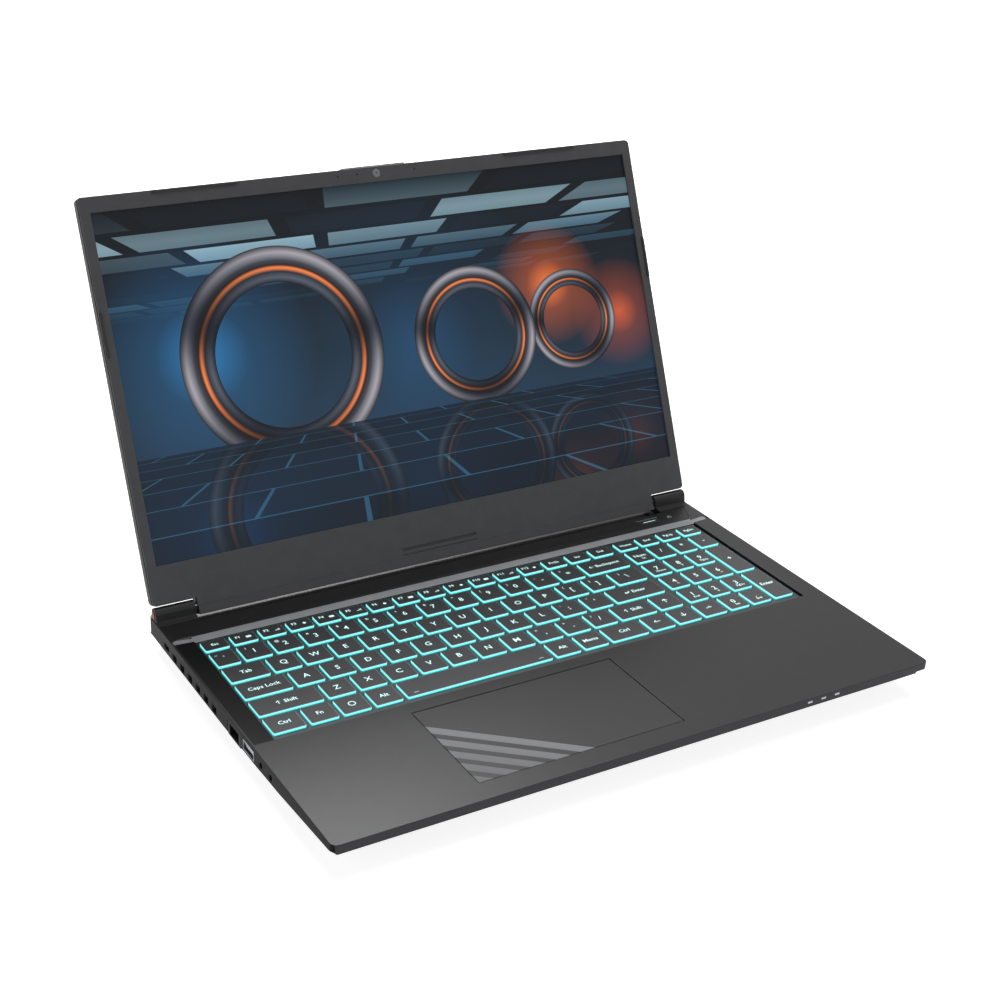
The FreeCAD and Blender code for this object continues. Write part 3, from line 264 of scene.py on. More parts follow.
@dataclass(frozen=True)
class RolledMetal(Finish):
    """Rolled or stamped sheet metal: fine drawn lines one way, broken glints."""

    colour: str
    roughness: float = 0.35
    # Real drawn lines are too fine to show, so they are drawn this coarse.
    line_mm: float = 0.3
    drawn: Point = (0.04, 1.0, 1.0)
    dull: float = 0.85
    glint: float = 1.1
    smoother: float = 0.1
    rougher: float = 0.15

    def shader(self, node: AddNode, place: Socket) -> Inputs:
        """Draw the lines out along X.

        Args:
            node: Adds a node.
            place: Object coordinates.

        Returns:
            The shader's inputs.
        """
        along = node("Mapping", {"Vector": place, "Scale": self.drawn})
        lines = node("TexNoise", {"Vector": along, "Scale": 1 / (self.line_mm * MM), "Detail": 2.0})
        shades = ((NOISE_LOW, self.colour, self.dull), (NOISE_HIGH, self.colour, self.glint))
        tint = node("ValToRGB", (lines,), stops=shades)
        gloss = node("MapRange", {"Value": lines, "To Min": self.roughness - self.smoother,
                                  "To Max": self.roughness + self.rougher})
        return {"Base Color": tint, "Roughness": gloss, "Metallic": 1.0}


@dataclass(frozen=True)
class CircuitBoard(Finish):
    """Glass-epoxy board under solder mask: green-black, with fine copper tracks showing through."""

    mask: str = "#0d2a1d"
    track: str = "#1d4a33"
    track_mm: float = 1.6
    # Height of one row in the brick texture's own units.
    row: float = 0.25

    def shader(self, node: AddNode, place: Socket) -> Inputs:
        """Run the tracks between rows of mask.

        Args:
            node: Adds a node.
            place: Object coordinates.

        Returns:
            The shader's inputs.
        """
        tracks = node("TexBrick", {"Vector": place, "Scale": self.row / (self.track_mm * MM),
                                   "Mortar Size": 0.05, "Mortar": self.track,
                                   "Color1": self.mask, "Color2": self.mask})
        return {"Base Color": tracks, "Roughness": 0.35}


@dataclass(frozen=True)
class BacklitWall(Finish):
    """Clear polycarbonate key wall lit from below: brightest near the cap, deeper in colour at its foot."""

    low_z: float
    high_z: float
    body: str = "#0f3c40"
    deep: str = "#128f95"
    bright: str = "#5cf3f0"
    core: str = "#b4fffb"
    strength: float = 1.15

    def shader(self, node: AddNode, place: Socket) -> Inputs:
        """Let the light change with the height.

        Args:
            node: Adds a node.
            place: Object coordinates.

        Returns:
            The shader's inputs.
        """
        height = node("SeparateXYZ", (place,), "Z")
        rise = node("MapRange", {"Value": height, "From Min": self.low_z, "From Max": self.high_z})
        stops = ((0.0, self.deep), (0.35, self.bright), (0.7, self.core), (1.0, self.bright))
        glow = node("ValToRGB", (rise,), stops=stops)
        return {"Base Color": self.body, "Roughness": 0.3, "Emission Color": glow,
                "Emission Strength": self.strength}


@dataclass(frozen=True)
class LitInk(Finish):
    """Translucent legend in the cap's paint, lit from below."""

    colour: str = "#d4fffd"
    strength: float = 1.0
    cloud_mm: float = 1.2
    body: str = "#8fa5a6"

    def shader(self, node: AddNode, place: Socket) -> Inputs:
        """Cloud the light a little.

        Args:
            node: Adds a node.
            place: Object coordinates.

        Returns:
            The shader's inputs.
        """
        cloud = node("TexNoise", {"Vector": place, "Scale": 1 / (self.cloud_mm * MM)})
        glow = node("ValToRGB", (cloud,), stops=((NOISE_LOW, self.colour, 0.8), (NOISE_HIGH, self.colour)))
        return {"Base Color": self.body, "Emission Color": glow, "Emission Strength": self.strength}


@dataclass(frozen=True)
class LensGlass(Finish):
    """Coated camera glass or a clear light window: dark, very smooth, with a faint tint."""

    colour: str = "#10141c"
    glint: str = "#2a3550"
    glow: float = 0.0
    coat_mm: float = 1.5

    def shader(self, node: AddNode, place: Socket) -> Inputs:
        """Let the coating's tint drift.

        Args:
            node: Adds a node.
            place: Object coordinates.

        Returns:
            The shader's inputs.
        """
        coat = node("TexNoise", {"Vector": place, "Scale": 1 / (self.coat_mm * MM), "Detail": 1.0})
        tint = node("ValToRGB", (coat,), stops=((0.25, self.colour), (0.8, self.glint)))
        return {"Base Color": tint, "Roughness": 0.12, "Emission Color": self.colour,
                "Emission Strength": self.glow}


@dataclass(frozen=True)
class LitScreen(Finish):
    """Anti-glare liquid-crystal panel showing a plain abstract picture of metal rings in a dim hall.

    Places in the picture are shares of its width from the middle and of its height from the foot.
    """

    hinge: Point
    tilt: float
    low: float
    width: float
    height: float
    horizon: float = 0.3
    vanish: float = 0.12
    farthest: float = 0.02
    ceiling_rise: float = 0.2
    ceiling_near: float = 0.5
    floor_rise: float = 0.16
    floor_near: float = 0.35
    polish: float = 0.55
    light_share: float = 0.9
    ring_share: float = 0.2
    glints: float = 3.0
    rings: tuple[tuple[float, float, float, float], ...] = (
        (0.34, 0.5, 0.075, 0.4), (0.14, 0.5, 0.1, 1.3), (-0.22, 0.53, 0.15, 2.2))
    lights: tuple[tuple[float, float, float, str], ...] = (
        (0.3, 0.62, 0.11, "#ff7a2e"), (-0.36, 0.56, 0.2, "#2478b4"), (0.02, 0.5, 0.3, "#123f62"),
        (0.44, 0.5, 0.1, "#d2571e"))

    def shader(self, node: AddNode, place: Socket) -> Inputs:
        """Compose the picture: hall, rings and the floor that mirrors them.

        Args:
            node: Adds a node.
            place: Object coordinates.

        Returns:
            The shader's inputs.
        """
        turn = (self.tilt, 0.0, 0.0)
        upright = node("Mapping", {"Vector": place, "Location": self.hinge, "Rotation": turn},
                       vector_type="TEXTURE")
        axes = node("SeparateXYZ", (upright,)).node.outputs
        across = node("Math DIVIDE", (axes["X"], self.width))
        rise = node("Math SUBTRACT", (axes["Y"], self.low))
        up = node("Math DIVIDE", (rise, self.height))
        below = node("Math SUBTRACT", (2 * self.horizon, up))
        mirrored = node("Math MAXIMUM", (up, below))
        picture = self._hall(node, across, mirrored)
        for x, y, radius, turn in self.rings:
            picture = self._ring(node, picture, (across, mirrored), (x, y), radius, turn)
        picture = self._floor(node, picture, across, up)
        return {"Base Color": "#05070a", "Roughness": 0.42, "Specular IOR Level": 0.15,
                "Emission Color": picture, "Emission Strength": 1.0}

    def _tiles(self, node: AddNode, across: Socket, drop: Socket, near: float, bricks: Inputs,
               offset: float = 0.5) -> Socket:
        """Lay tiles on a plane that runs away to the vanishing point.

        Args:
            node: Adds a node.
            across: Place across the picture.
            drop: Height from the plane's far end.
            near: How close the plane is.
            bricks: Sizes and colours of the tiles.
            offset: Shift of every other row.

        Returns:
            The colour.
        """
        gap = node("Math MAXIMUM", (drop, self.farthest))
        depth = node("Math DIVIDE", (near, gap))
        aside = node("Math ADD", (across, self.vanish))
        spread = node("Math MULTIPLY", (aside, depth))
        plane = node("CombineXYZ", (spread, depth))
        return node("TexBrick", {"Vector": plane, "Row Height": 0.5, **bricks}, offset=offset)

    def _hall(self, node: AddNode, across: Socket, up: Socket) -> Socket:
        """Paint a dim blue hall with a ceiling of pale light panels and a few soft round lights.

        Args:
            node: Adds a node.
            across: Place across the picture.
            up: Place up the picture.

        Returns:
            The colour.
        """
        ground = node("ValToRGB", (up,), stops=(
            (0.0, "#0b1420"), (self.horizon, "#1c3449"), (0.5, "#14242f"), (0.72, "#0c141c"),
            (1.0, "#06090d")))
        drop = node("Math SUBTRACT", (up, self.horizon + self.ceiling_rise))
        panels = self._tiles(node, across, drop, self.ceiling_near, {
            "Scale": 2.6, "Mortar Size": 0.05, "Bias": 0.35, "Brick Width": 0.9, "Color1": "#e6f9ff",
            "Color2": "#0b1218", "Mortar": "#020304"}, 0.25)
        shown = node("ValToRGB", (up,), stops=(
            (0.68, BLACK), (0.78, "#4f7a94"), (0.9, "#d8f2fc"), (1.0, "#45606f")))
        ceiling = node("Mix", {"Factor": 1.0, FIRST: panels, SECOND: shown}, blend_type="MULTIPLY", **BLEND)
        lit = node("Mix", {"Factor": 1.0, FIRST: ground, SECOND: ceiling}, blend_type="ADD", **BLEND)
        for x, y, size, code in self.lights:
            near = node("Math DIVIDE", (self._away(node, (across, up), (x, y)), size))
            glow = node("ValToRGB", (near,), stops=((0.0, code), (0.4, code, 0.25), (1.0, BLACK)))
            share = {"Factor": self.light_share, FIRST: lit, SECOND: glow}
            lit = node("Mix", share, blend_type="ADD", **BLEND)
        return lit

    def _floor(self, node: AddNode, above: Socket, across: Socket, up: Socket) -> Socket:
        """Lay a dark polished floor that shows the mirrored hall between thin pale seams.

        Args:
            node: Adds a node.
            above: Colour of the hall, already mirrored below its floor line.
            across: Place across the picture.
            up: Place up the picture.

        Returns:
            The colour.
        """
        drop = node("Math SUBTRACT", (self.horizon + self.floor_rise, up))
        seams = self._tiles(node, across, drop, self.floor_near, {
            "Scale": 2.2, "Mortar Size": 0.009, "Brick Width": 0.8, "Color1": "#0d1b28",
            "Color2": "#14283a", "Mortar": "#356a8a"})
        tint = {"Factor": 1.0, FIRST: above, SECOND: "#6d8296"}
        dim = node("Mix", tint, blend_type="MULTIPLY", **BLEND)
        polished = node("Mix", {"Factor": self.polish, FIRST: dim, SECOND: seams}, **BLEND)
        under = node("Math LESS_THAN", (up, self.horizon))
        return node("Mix", {"Factor": under, FIRST: above, SECOND: polished}, **BLEND)

    def _away(self, node: AddNode, spot: tuple[Socket, Socket], middle: tuple[float, float]) -> Socket:
        """Measure the distance from a point of the picture, as a share of the width.

        Args:
            node: Adds a node.
            spot: Places across and up the picture.
            middle: The point, across and up.

        Returns:
            The distance.
        """
        dx, rise = (node("Math SUBTRACT", pair) for pair in zip(spot, middle))
        dy = node("Math MULTIPLY", (rise, self.height / self.width))
        squares = tuple(node("Math MULTIPLY", (side, side)) for side in (dx, dy))
        return node("Math SQRT", (node("Math ADD", squares),))

    def _ring(self, node: AddNode, under: Socket, spot: tuple[Socket, Socket], middle: tuple[float, float],
              radius: float, turn: float) -> Socket:
        """Lay one heavy metal ring with a warm light let into it over the picture.

        Args:
            node: Adds a node.
            under: Colour that the ring covers.
            spot: Places across and up the picture.
            middle: Middle of the ring, across and up.
            radius: Radius of the ring as a share of the width.
            turn: Where round the ring the brightest part lies, in radians.

        Returns:
            The colour.
        """
        past = node("Math SUBTRACT", (self._away(node, spot, middle), radius))
        side = node("Math DIVIDE", (past, radius * self.ring_share))
        section = node("Math MULTIPLY_ADD", (side, HALF, HALF))
        body = node("ValToRGB", (section,), stops=(
            (0.0, "#0f1318"), (0.14, "#545b68"), (0.3, "#262a31"), (0.4, "#ff8a4a"),
            (0.47, "#2a1a17"), (0.6, "#3d434d"), (0.82, "#a7a3ab"), (1.0, "#191c22")))
        dx, dy = (node("Math SUBTRACT", pair) for pair in zip(spot, middle))
        angle = node("Math ARCTAN2", (dy, dx))
        phase = node("Math MULTIPLY_ADD", (angle, self.glints, turn))
        wave = node("Math MULTIPLY_ADD", (node("Math COSINE", (phase,)), HALF, HALF))
        shine = node("ValToRGB", (wave,), stops=((0.0, "#5b6270"), (1.0, WHITE)))
        metal = node("Mix", {"Factor": 1.0, FIRST: body, SECOND: shine}, blend_type="MULTIPLY", **BLEND)
        inside = node("Math LESS_THAN", (node("Math ABSOLUTE", (side,)), 1.0))
        return node("Mix", {"Factor": inside, FIRST: under, SECOND: metal}, **BLEND)


@dataclass(frozen=True)
class PrintedPad(Finish):
    """Satin touch film over moulded plastic, with a pale print of plain slanted stripes in one corner."""

    corner: Point
    ground: str = "#272728"
    ink: str = "#757678"
    reach_x: float = 72.0 * MM
    reach_y: float = 60.0 * MM
    stripes: float = 5.0
    duty: float = 0.58
    faint: float = 0.35
    # The film's real grain is too fine to show, so it is drawn this coarse.
    grain_mm: float = 0.4545
    relief_mm: float = 0.005

    def shader(self, node: AddNode, place: Socket) -> Inputs:
        """Print the stripes, stronger away from the corner.

        Args:
            node: Adds a node.
            place: Object coordinates.

        Returns:
            The shader's inputs.
        """
        local = node("VectorMath SUBTRACT", (place, self.corner))
        slant = (1 / self.reach_x, 1 / self.reach_y, 0.0)
        lean = node("VectorMath DOT_PRODUCT", (local, slant), "Value")
        turns = node("Math MODULO", (lean, 1 / self.stripes))
        band = node("Math LESS_THAN", (turns, self.duty / self.stripes))
        within = node("Math LESS_THAN", (lean, 1.0))
        shown = node("Math MULTIPLY", (band, within))
        fade = node("MapRange", {"Value": lean, "To Min": self.faint})
        amount = node("Math MULTIPLY", (shown, fade))
        tint = node("Mix", {"Factor": amount, FIRST: self.ground, SECOND: self.ink}, **BLEND)
        grain = node("TexNoise", {"Vector": place, "Scale": 1 / (self.grain_mm * MM)})
        bump = node("Bump", {"Height": grain, "Strength": 0.3, "Distance": self.relief_mm * MM})
        return {"Base Color": tint, "Roughness": 0.4, "Specular IOR Level": 0.15, "Normal": bump}


@dataclass(frozen=True)
class PaleFloor(Finish):
    """Matt painted floor: white away from the laptop, keeping its shadow near it, and clear from below."""

    lift: float
    near: float = 0.2
    far: float = 0.7
    paint: str = "#b3b3b3"

    def made(self) -> Material:
        """Make the material and clear its lower side.

        Returns:
            The material.
        """
        material = super().made()
        tree = material.node_tree
        below = add_node(tree, "NewGeometry", out="Backfacing")
        paint = tree.nodes["Principled BSDF"].outputs["BSDF"]
        sided = add_node(tree, "MixShader", (below, paint, add_node(tree, "BsdfTransparent")))
        feed(tree, tree.nodes["Material Output"], {"Surface": sided})
        return material

    def shader(self, node: AddNode, place: Socket) -> Inputs:
        """Fade to white with the distance.

        Args:
            node: Adds a node.
            place: Object coordinates.

        Returns:
            The shader's inputs.
        """
        away = node("VectorMath LENGTH", (place,), "Value")
        white = node("MapRange", {"Value": away, "From Min": self.near, "From Max": self.far,
                                  "To Min": self.lift})
        level = node("Math MULTIPLY", (white, background_ray(node)))
        return {"Base Color": self.paint, "Roughness": 0.9, "Emission Color": WHITE,
                "Emission Strength": level}


class Shade(Enum):
    """Plastics, metals and other finishes of the laptop, by the piece that wears them, with lit and shaded copies
    of the deck plastic that paint light and shade on the top case.
    """

    DECK = MouldedPlastic("moulded_abs_deck", "#222223", 0.38, 0.35, 0.006, specular=0.15)
    # Painted highlight: the ramp behind the keys wears a lighter copy of the deck plastic, for the light that
    # falls on that slope.
    RAMP = MouldedPlastic("moulded_abs_ramp_painted_highlight", "#9c9ca0", 0.42, 0.35, 0.006)
    # Painted shade: the slope left of the keys wears a darker, less glossy copy of the deck plastic.
    DARK_STRIP = MouldedPlastic("moulded_abs_left_strip_painted_shade", "#121213", 0.42, 0.35, 0.006, specular=0.06)
    # Painted shade: the side faces of the top case wear a darker, less glossy copy of the deck plastic.
    SKIRT = MouldedPlastic("moulded_abs_side_skirt_painted_shade", "#161617", 0.5, 0.35, 0.006, specular=0.06)
    # Painted light: the front face of the top case wears a lighter copy of the deck plastic.
    FRONT = MouldedPlastic("moulded_abs_front_face_painted_light", "#37373a", 0.5, 0.35, 0.006)
    BEZEL = MouldedPlastic("moulded_abs_bezel", "#525254", 0.55, 0.5, 0.012)
    CASE = MouldedPlastic("moulded_abs_case", "#29292a", 0.5, 0.5, 0.012)
    HINGE = MouldedPlastic("moulded_abs_hinge_cover", "#444446", 0.45, 0.5, 0.01)
    COVER = MouldedPlastic("moulded_abs_lid_cover", "#161617", 0.5, 0.5, 0.012)
    FRAME = MouldedPlastic("moulded_abs_keyboard_frame", "#3c3c3e", 0.5, 0.4, 0.008)
    KEY = MouldedPlastic("painted_pc_keycap", "#39393b", 0.48, 0.3, 0.006)
    SOCKET = MouldedPlastic("nylon_socket", "#161617", 0.55, 0.6, 0.01)
    CHIP = MouldedPlastic("black_epoxy", "#1a1a1b", 0.45, 0.6, 0.01)
    ACCENT = MouldedPlastic("glossy_abs_orange_trim", "#8f3a14", 0.4, 0.8, 0.003)
    RUBBER = Rubber("nitrile_rubber")
    STEEL = RolledMetal("zinc_plated_steel", "#8d8f93", 0.38)
    NICKEL = RolledMetal("nickel_plated_shell", "#a5a7aa", 0.3)
    COPPER = RolledMetal("bare_copper", "#b4673d", 0.35)
    FINS = RolledMetal("aluminium_fins", "#b9bcc0", 0.35)
    RING = MouldedPlastic("satin_camera_window", "#8b8c8e", 0.35, 0.4, 0.002)
    GOLD = RolledMetal("gold_plated_contact", "#c99b4a", 0.3)
    BOARD = CircuitBoard("solder_masked_board")
    LENS = LensGlass("coated_lens")
    WINDOW = LensGlass("clear_light_window", "#b9bec4", "#e2e6ea", 0.25)
    INK = LitInk("lit_legend")
    RIM = LitInk("lit_key_rim", "#9fd6d6", 0.35)
    MARK = LitInk("pale_print", "#c9cdd1", 0.35)

    def dress(self, piece: Piece) -> None:
        """Give a piece this finish alone."""
        set_materials(piece, [self.made()])

    def made(self) -> Material:
        """The finish's material, made once."""
        return self.value.made()


SLOT_SHADES = {
    "deck_plastic": Shade.DECK, "case_plastic": Shade.CASE, "bezel_plastic": Shade.BEZEL,
    "frame_plastic": Shade.FRAME, "key_plastic": Shade.KEY, "pad_plastic": Shade.DECK,
    "accent_plastic": Shade.ACCENT, "lens_plastic": Shade.LENS, "screen_glass": Shade.LENS,
    "socket_plastic": Shade.SOCKET, "socket_metal": Shade.NICKEL, "plain_steel": Shade.STEEL,
    "copper": Shade.COPPER, "fin_metal": Shade.FINS, "circuit_board": Shade.BOARD,
    "chip_plastic": Shade.CHIP, "foot_rubber": Shade.RUBBER,
}


class CapFace(IntEnum):
    """Faces of a key cap, in the order of its materials."""

    TOP = 0
    WALL = 1
    RIM = 2


class Sign(IntEnum):
    """Plain signs on the function keys, which follow one another in this order."""

    DOT = 0
    BAR = 1
    LEVEL = 2


def set_materials(piece: Piece, materials: Iterable[Material]) -> None:
    """Replace a piece's material slots.

    Args:
        piece: Piece to dress.
        materials: Materials in the order of their slots.
    """
    piece.data.materials.clear()
    for material in materials:
        piece.data.materials.append(material)


def select_only(*pieces: Piece) -> None:
    """Leave just these objects selected.

    Args:
        pieces: Objects to select, of which the first becomes the active one.
    """
    bpy.ops.object.select_all(action="DESELECT")
    for piece in pieces:
        piece.select_set(True)
    bpy.context.view_layer.objects.active = pieces[0]


def settle(piece: Piece) -> Piece:
    """Bring a piece's place, turn and size into its mesh.

    Args:
        piece: Piece to settle.

    Returns:
        The same piece, at the origin.
    """
    select_only(piece)
    bpy.ops.object.transform_apply(location=True, rotation=True, scale=True)
    return piece


def round_edges(piece: Piece, *rounds: tuple[EdgeTest, float, int]) -> None:
    """Round edges of a piece, one kind after another.

    Args:
        piece: Piece to shape.
        rounds: For each kind, the test that picks its edges, its radius and the faces across it.
    """
    select_only(piece)
    bpy.ops.object.mode_set(mode="EDIT")
    bpy.ops.mesh.select_mode(type="EDGE")
    for test, radius, faces in rounds:
        if radius:
            bpy.ops.mesh.select_all(action="DESELECT")
            for edge in bmesh.from_edit_mesh(piece.data).edges:
                edge.select_set(test(edge))
            bmesh.update_edit_mesh(piece.data)
            bpy.ops.mesh.bevel(offset=radius, segments=faces, affect="EDGES")
    bpy.ops.object.mode_set(mode="OBJECT")


def stands(edge: bmesh.types.BMEdge) -> bool:
    """Whether an edge stands upright."""
    return abs((edge.verts[0].co - edge.verts[1].co).normalized().z) > UPRIGHT


def on_top(top: float, edge: bmesh.types.BMEdge) -> bool:
    """Whether an edge lies at the height of the top."""
    return min(vert.co.z for vert in edge.verts) > top - TOUCH


def block(name: str, low: Iterable[float], high: Iterable[float], corner: float = 0.0,
          edge: float = 0.0) -> Piece:
    """Model a block with rounded upright corners and softened top edges.

    Args:
        name: Name of the piece.
        low: Lowest corner in metres.
        high: Highest corner in metres.
        corner: Radius of the upright corners, or 0 for sharp ones.
        edge: Radius of the edges of the top, or 0 for sharp ones.

    Returns:
        The piece, at the origin, with its place in its mesh.
    """
    low, high = Vector(low), Vector(high)
    bpy.ops.object.select_all(action="DESELECT")
    bpy.ops.mesh.primitive_cube_add(size=1.0, location=(low + high) / 2)
    piece = bpy.context.active_object
    piece.name = piece.data.name = name
    piece.scale = high - low
    settle(piece)
    round_edges(piece, (stands, corner, CORNER_FACES), (partial(on_top, high.z), edge, EDGE_FACES))
    return piece


def disc(name: str, centre: Point, radius: float, depth: float, edge: float, sides: int = 40) -> Piece:
    """Model a short upright cylinder with a softened top edge.

    Args:
        name: Name of the piece.
        centre: Middle of its foot.
        radius: Radius in metres.
        depth: Height in metres.
        edge: Radius of its top edge.
        sides: Number of sides.

    Returns:
        The piece, at the origin, with its place in its mesh.
    """
    bpy.ops.object.select_all(action="DESELECT")
    bpy.ops.mesh.primitive_cylinder_add(vertices=sides, radius=radius, depth=depth,
                                        location=(centre[0], centre[1], centre[2] + depth / 2))
    piece = bpy.context.active_object
    piece.name = piece.data.name = name
    settle(piece)
    round_edges(piece, (partial(on_top, centre[2] + depth), edge, DISC_FACES))
    return piece


def lettering(name: str, words: str, centre: Point, height: float, weight: float = 0.0) -> Piece:
    """Model flat letters that lie face up.

    Args:
        name: Name of the piece.
        words: Letters to write.
        centre: Middle of the letters.
        height: Size of the type in metres.
        weight: Thickness added round every stroke.

    Returns:
        The letters as a mesh at the origin.
    """
    bpy.ops.object.select_all(action="DESELECT")
    bpy.ops.object.text_add(location=(0, 0, 0))
    text = bpy.context.active_object
    text.data.body = words
    text.data.size = height
    text.data.align_x = text.data.align_y = "CENTER"
    text.data.resolution_u = 2
    text.data.offset = weight
    bpy.ops.object.convert(target="MESH")
    text = bpy.context.active_object
    text.name = text.data.name = name
    text.location = centre
    return settle(text)


def join(name: str, pieces: list[Piece]) -> Piece:
    """Join pieces into one mesh that keeps their materials.

    Args:
        name: Name of the joined piece.
        pieces: Pieces to join, all at the origin.

    Returns:
        The joined piece.
    """
    select_only(*pieces)
    if len(pieces) > 1:
        bpy.ops.object.join()
    pieces[0].name = pieces[0].data.name = name
    return pieces[0]


def node_body(node: str) -> str:
    """Name of the body that a node belongs to."""
    bodies = frame["record"]["behaviour"]["bodies"]
    return next(name for name, nodes in bodies.items() if node in nodes)


def node_slot(node: str) -> str:
    """Material slot that the record gives a node."""
    return next(part["material_slot"] for part in frame["record"]["subparts"] if part["node"] == node)


def seat(piece: Piece, node: str, stands_for: bool = False) -> None:
    """Let a piece ride with a node's body and, if asked, stand for the node.

    Args:
        piece: The new piece.
        node: CAD node that it belongs to.
        stands_for: Whether the node is hidden and the piece is shown instead.
    """
    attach(piece, node_body(node))
    node_slot(node)
    if stands_for:
        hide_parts(node)
    LOG.info("%s rides on %s", piece.name, node_body(node))


def softened(node: str, edge: float, shade: Shade) -> Piece:
    """Model a node again with the small rounded edges that a mould leaves.

    Args:
        node: CAD node to copy.
        edge: Width of the rounded edges in metres.
        shade: Finish of the piece.

    Returns:
        The piece that stands for the node.
    """
    piece = bpy.data.objects.new(node + "_moulded", frame["nodes"][node].data.copy())
    bpy.context.scene.collection.objects.link(piece)
    select_only(piece)
    bpy.ops.mesh.customdata_custom_splitnormals_clear()
    bpy.ops.object.mode_set(mode="EDIT")
    bpy.ops.mesh.select_all(action="SELECT")
    bpy.ops.mesh.remove_doubles(threshold=WELD)
    bpy.ops.mesh.tris_convert_to_quads(face_threshold=FLAT, shape_threshold=math.pi)
    bpy.ops.mesh.faces_shade_smooth()
    bpy.ops.object.mode_set(mode="OBJECT")
    bevel = piece.modifiers.new("bevel", "BEVEL")
    bevel.width = edge
    bevel.segments = 2
    bevel.limit_method = "ANGLE"
    bevel.angle_limit = SHARP
    bevel.use_clamp_overlap = False
    bevel.miter_outer = "MITER_ARC"
    bevel.loop_slide = False
    bevel.harden_normals = True
    bpy.ops.object.modifier_apply(modifier=bevel.name)
    shade.dress(piece)
    seat(piece, node, stands_for=True)
    return piece


def islands(node: str) -> list[Box]:
    """Measure the separate solids of a node.

    Args:
        node: CAD node to measure.

    Returns:
        Lowest and highest corners of each solid, from the rear row to the front and from left to right.
    """
    form = bmesh.new()
    form.from_mesh(frame["nodes"][node].data)
    bmesh.ops.remove_doubles(form, verts=form.verts, dist=TOUCH)
    left, boxes = set(form.verts), []
    while left:
        stack = [left.pop()]
        found = []
        while stack:
            vert = stack.pop()
            found.append(vert.co.copy())
            for edge in vert.link_edges:
                other = edge.other_vert(vert)
                if other in left:
                    left.remove(other)
                    stack.append(other)
        boxes.append((Vector(map(min, zip(*found))), Vector(map(max, zip(*found)))))
    form.free()
    return sorted(boxes, key=lambda box: (-round(box[1].y / ROW), box[0].x))


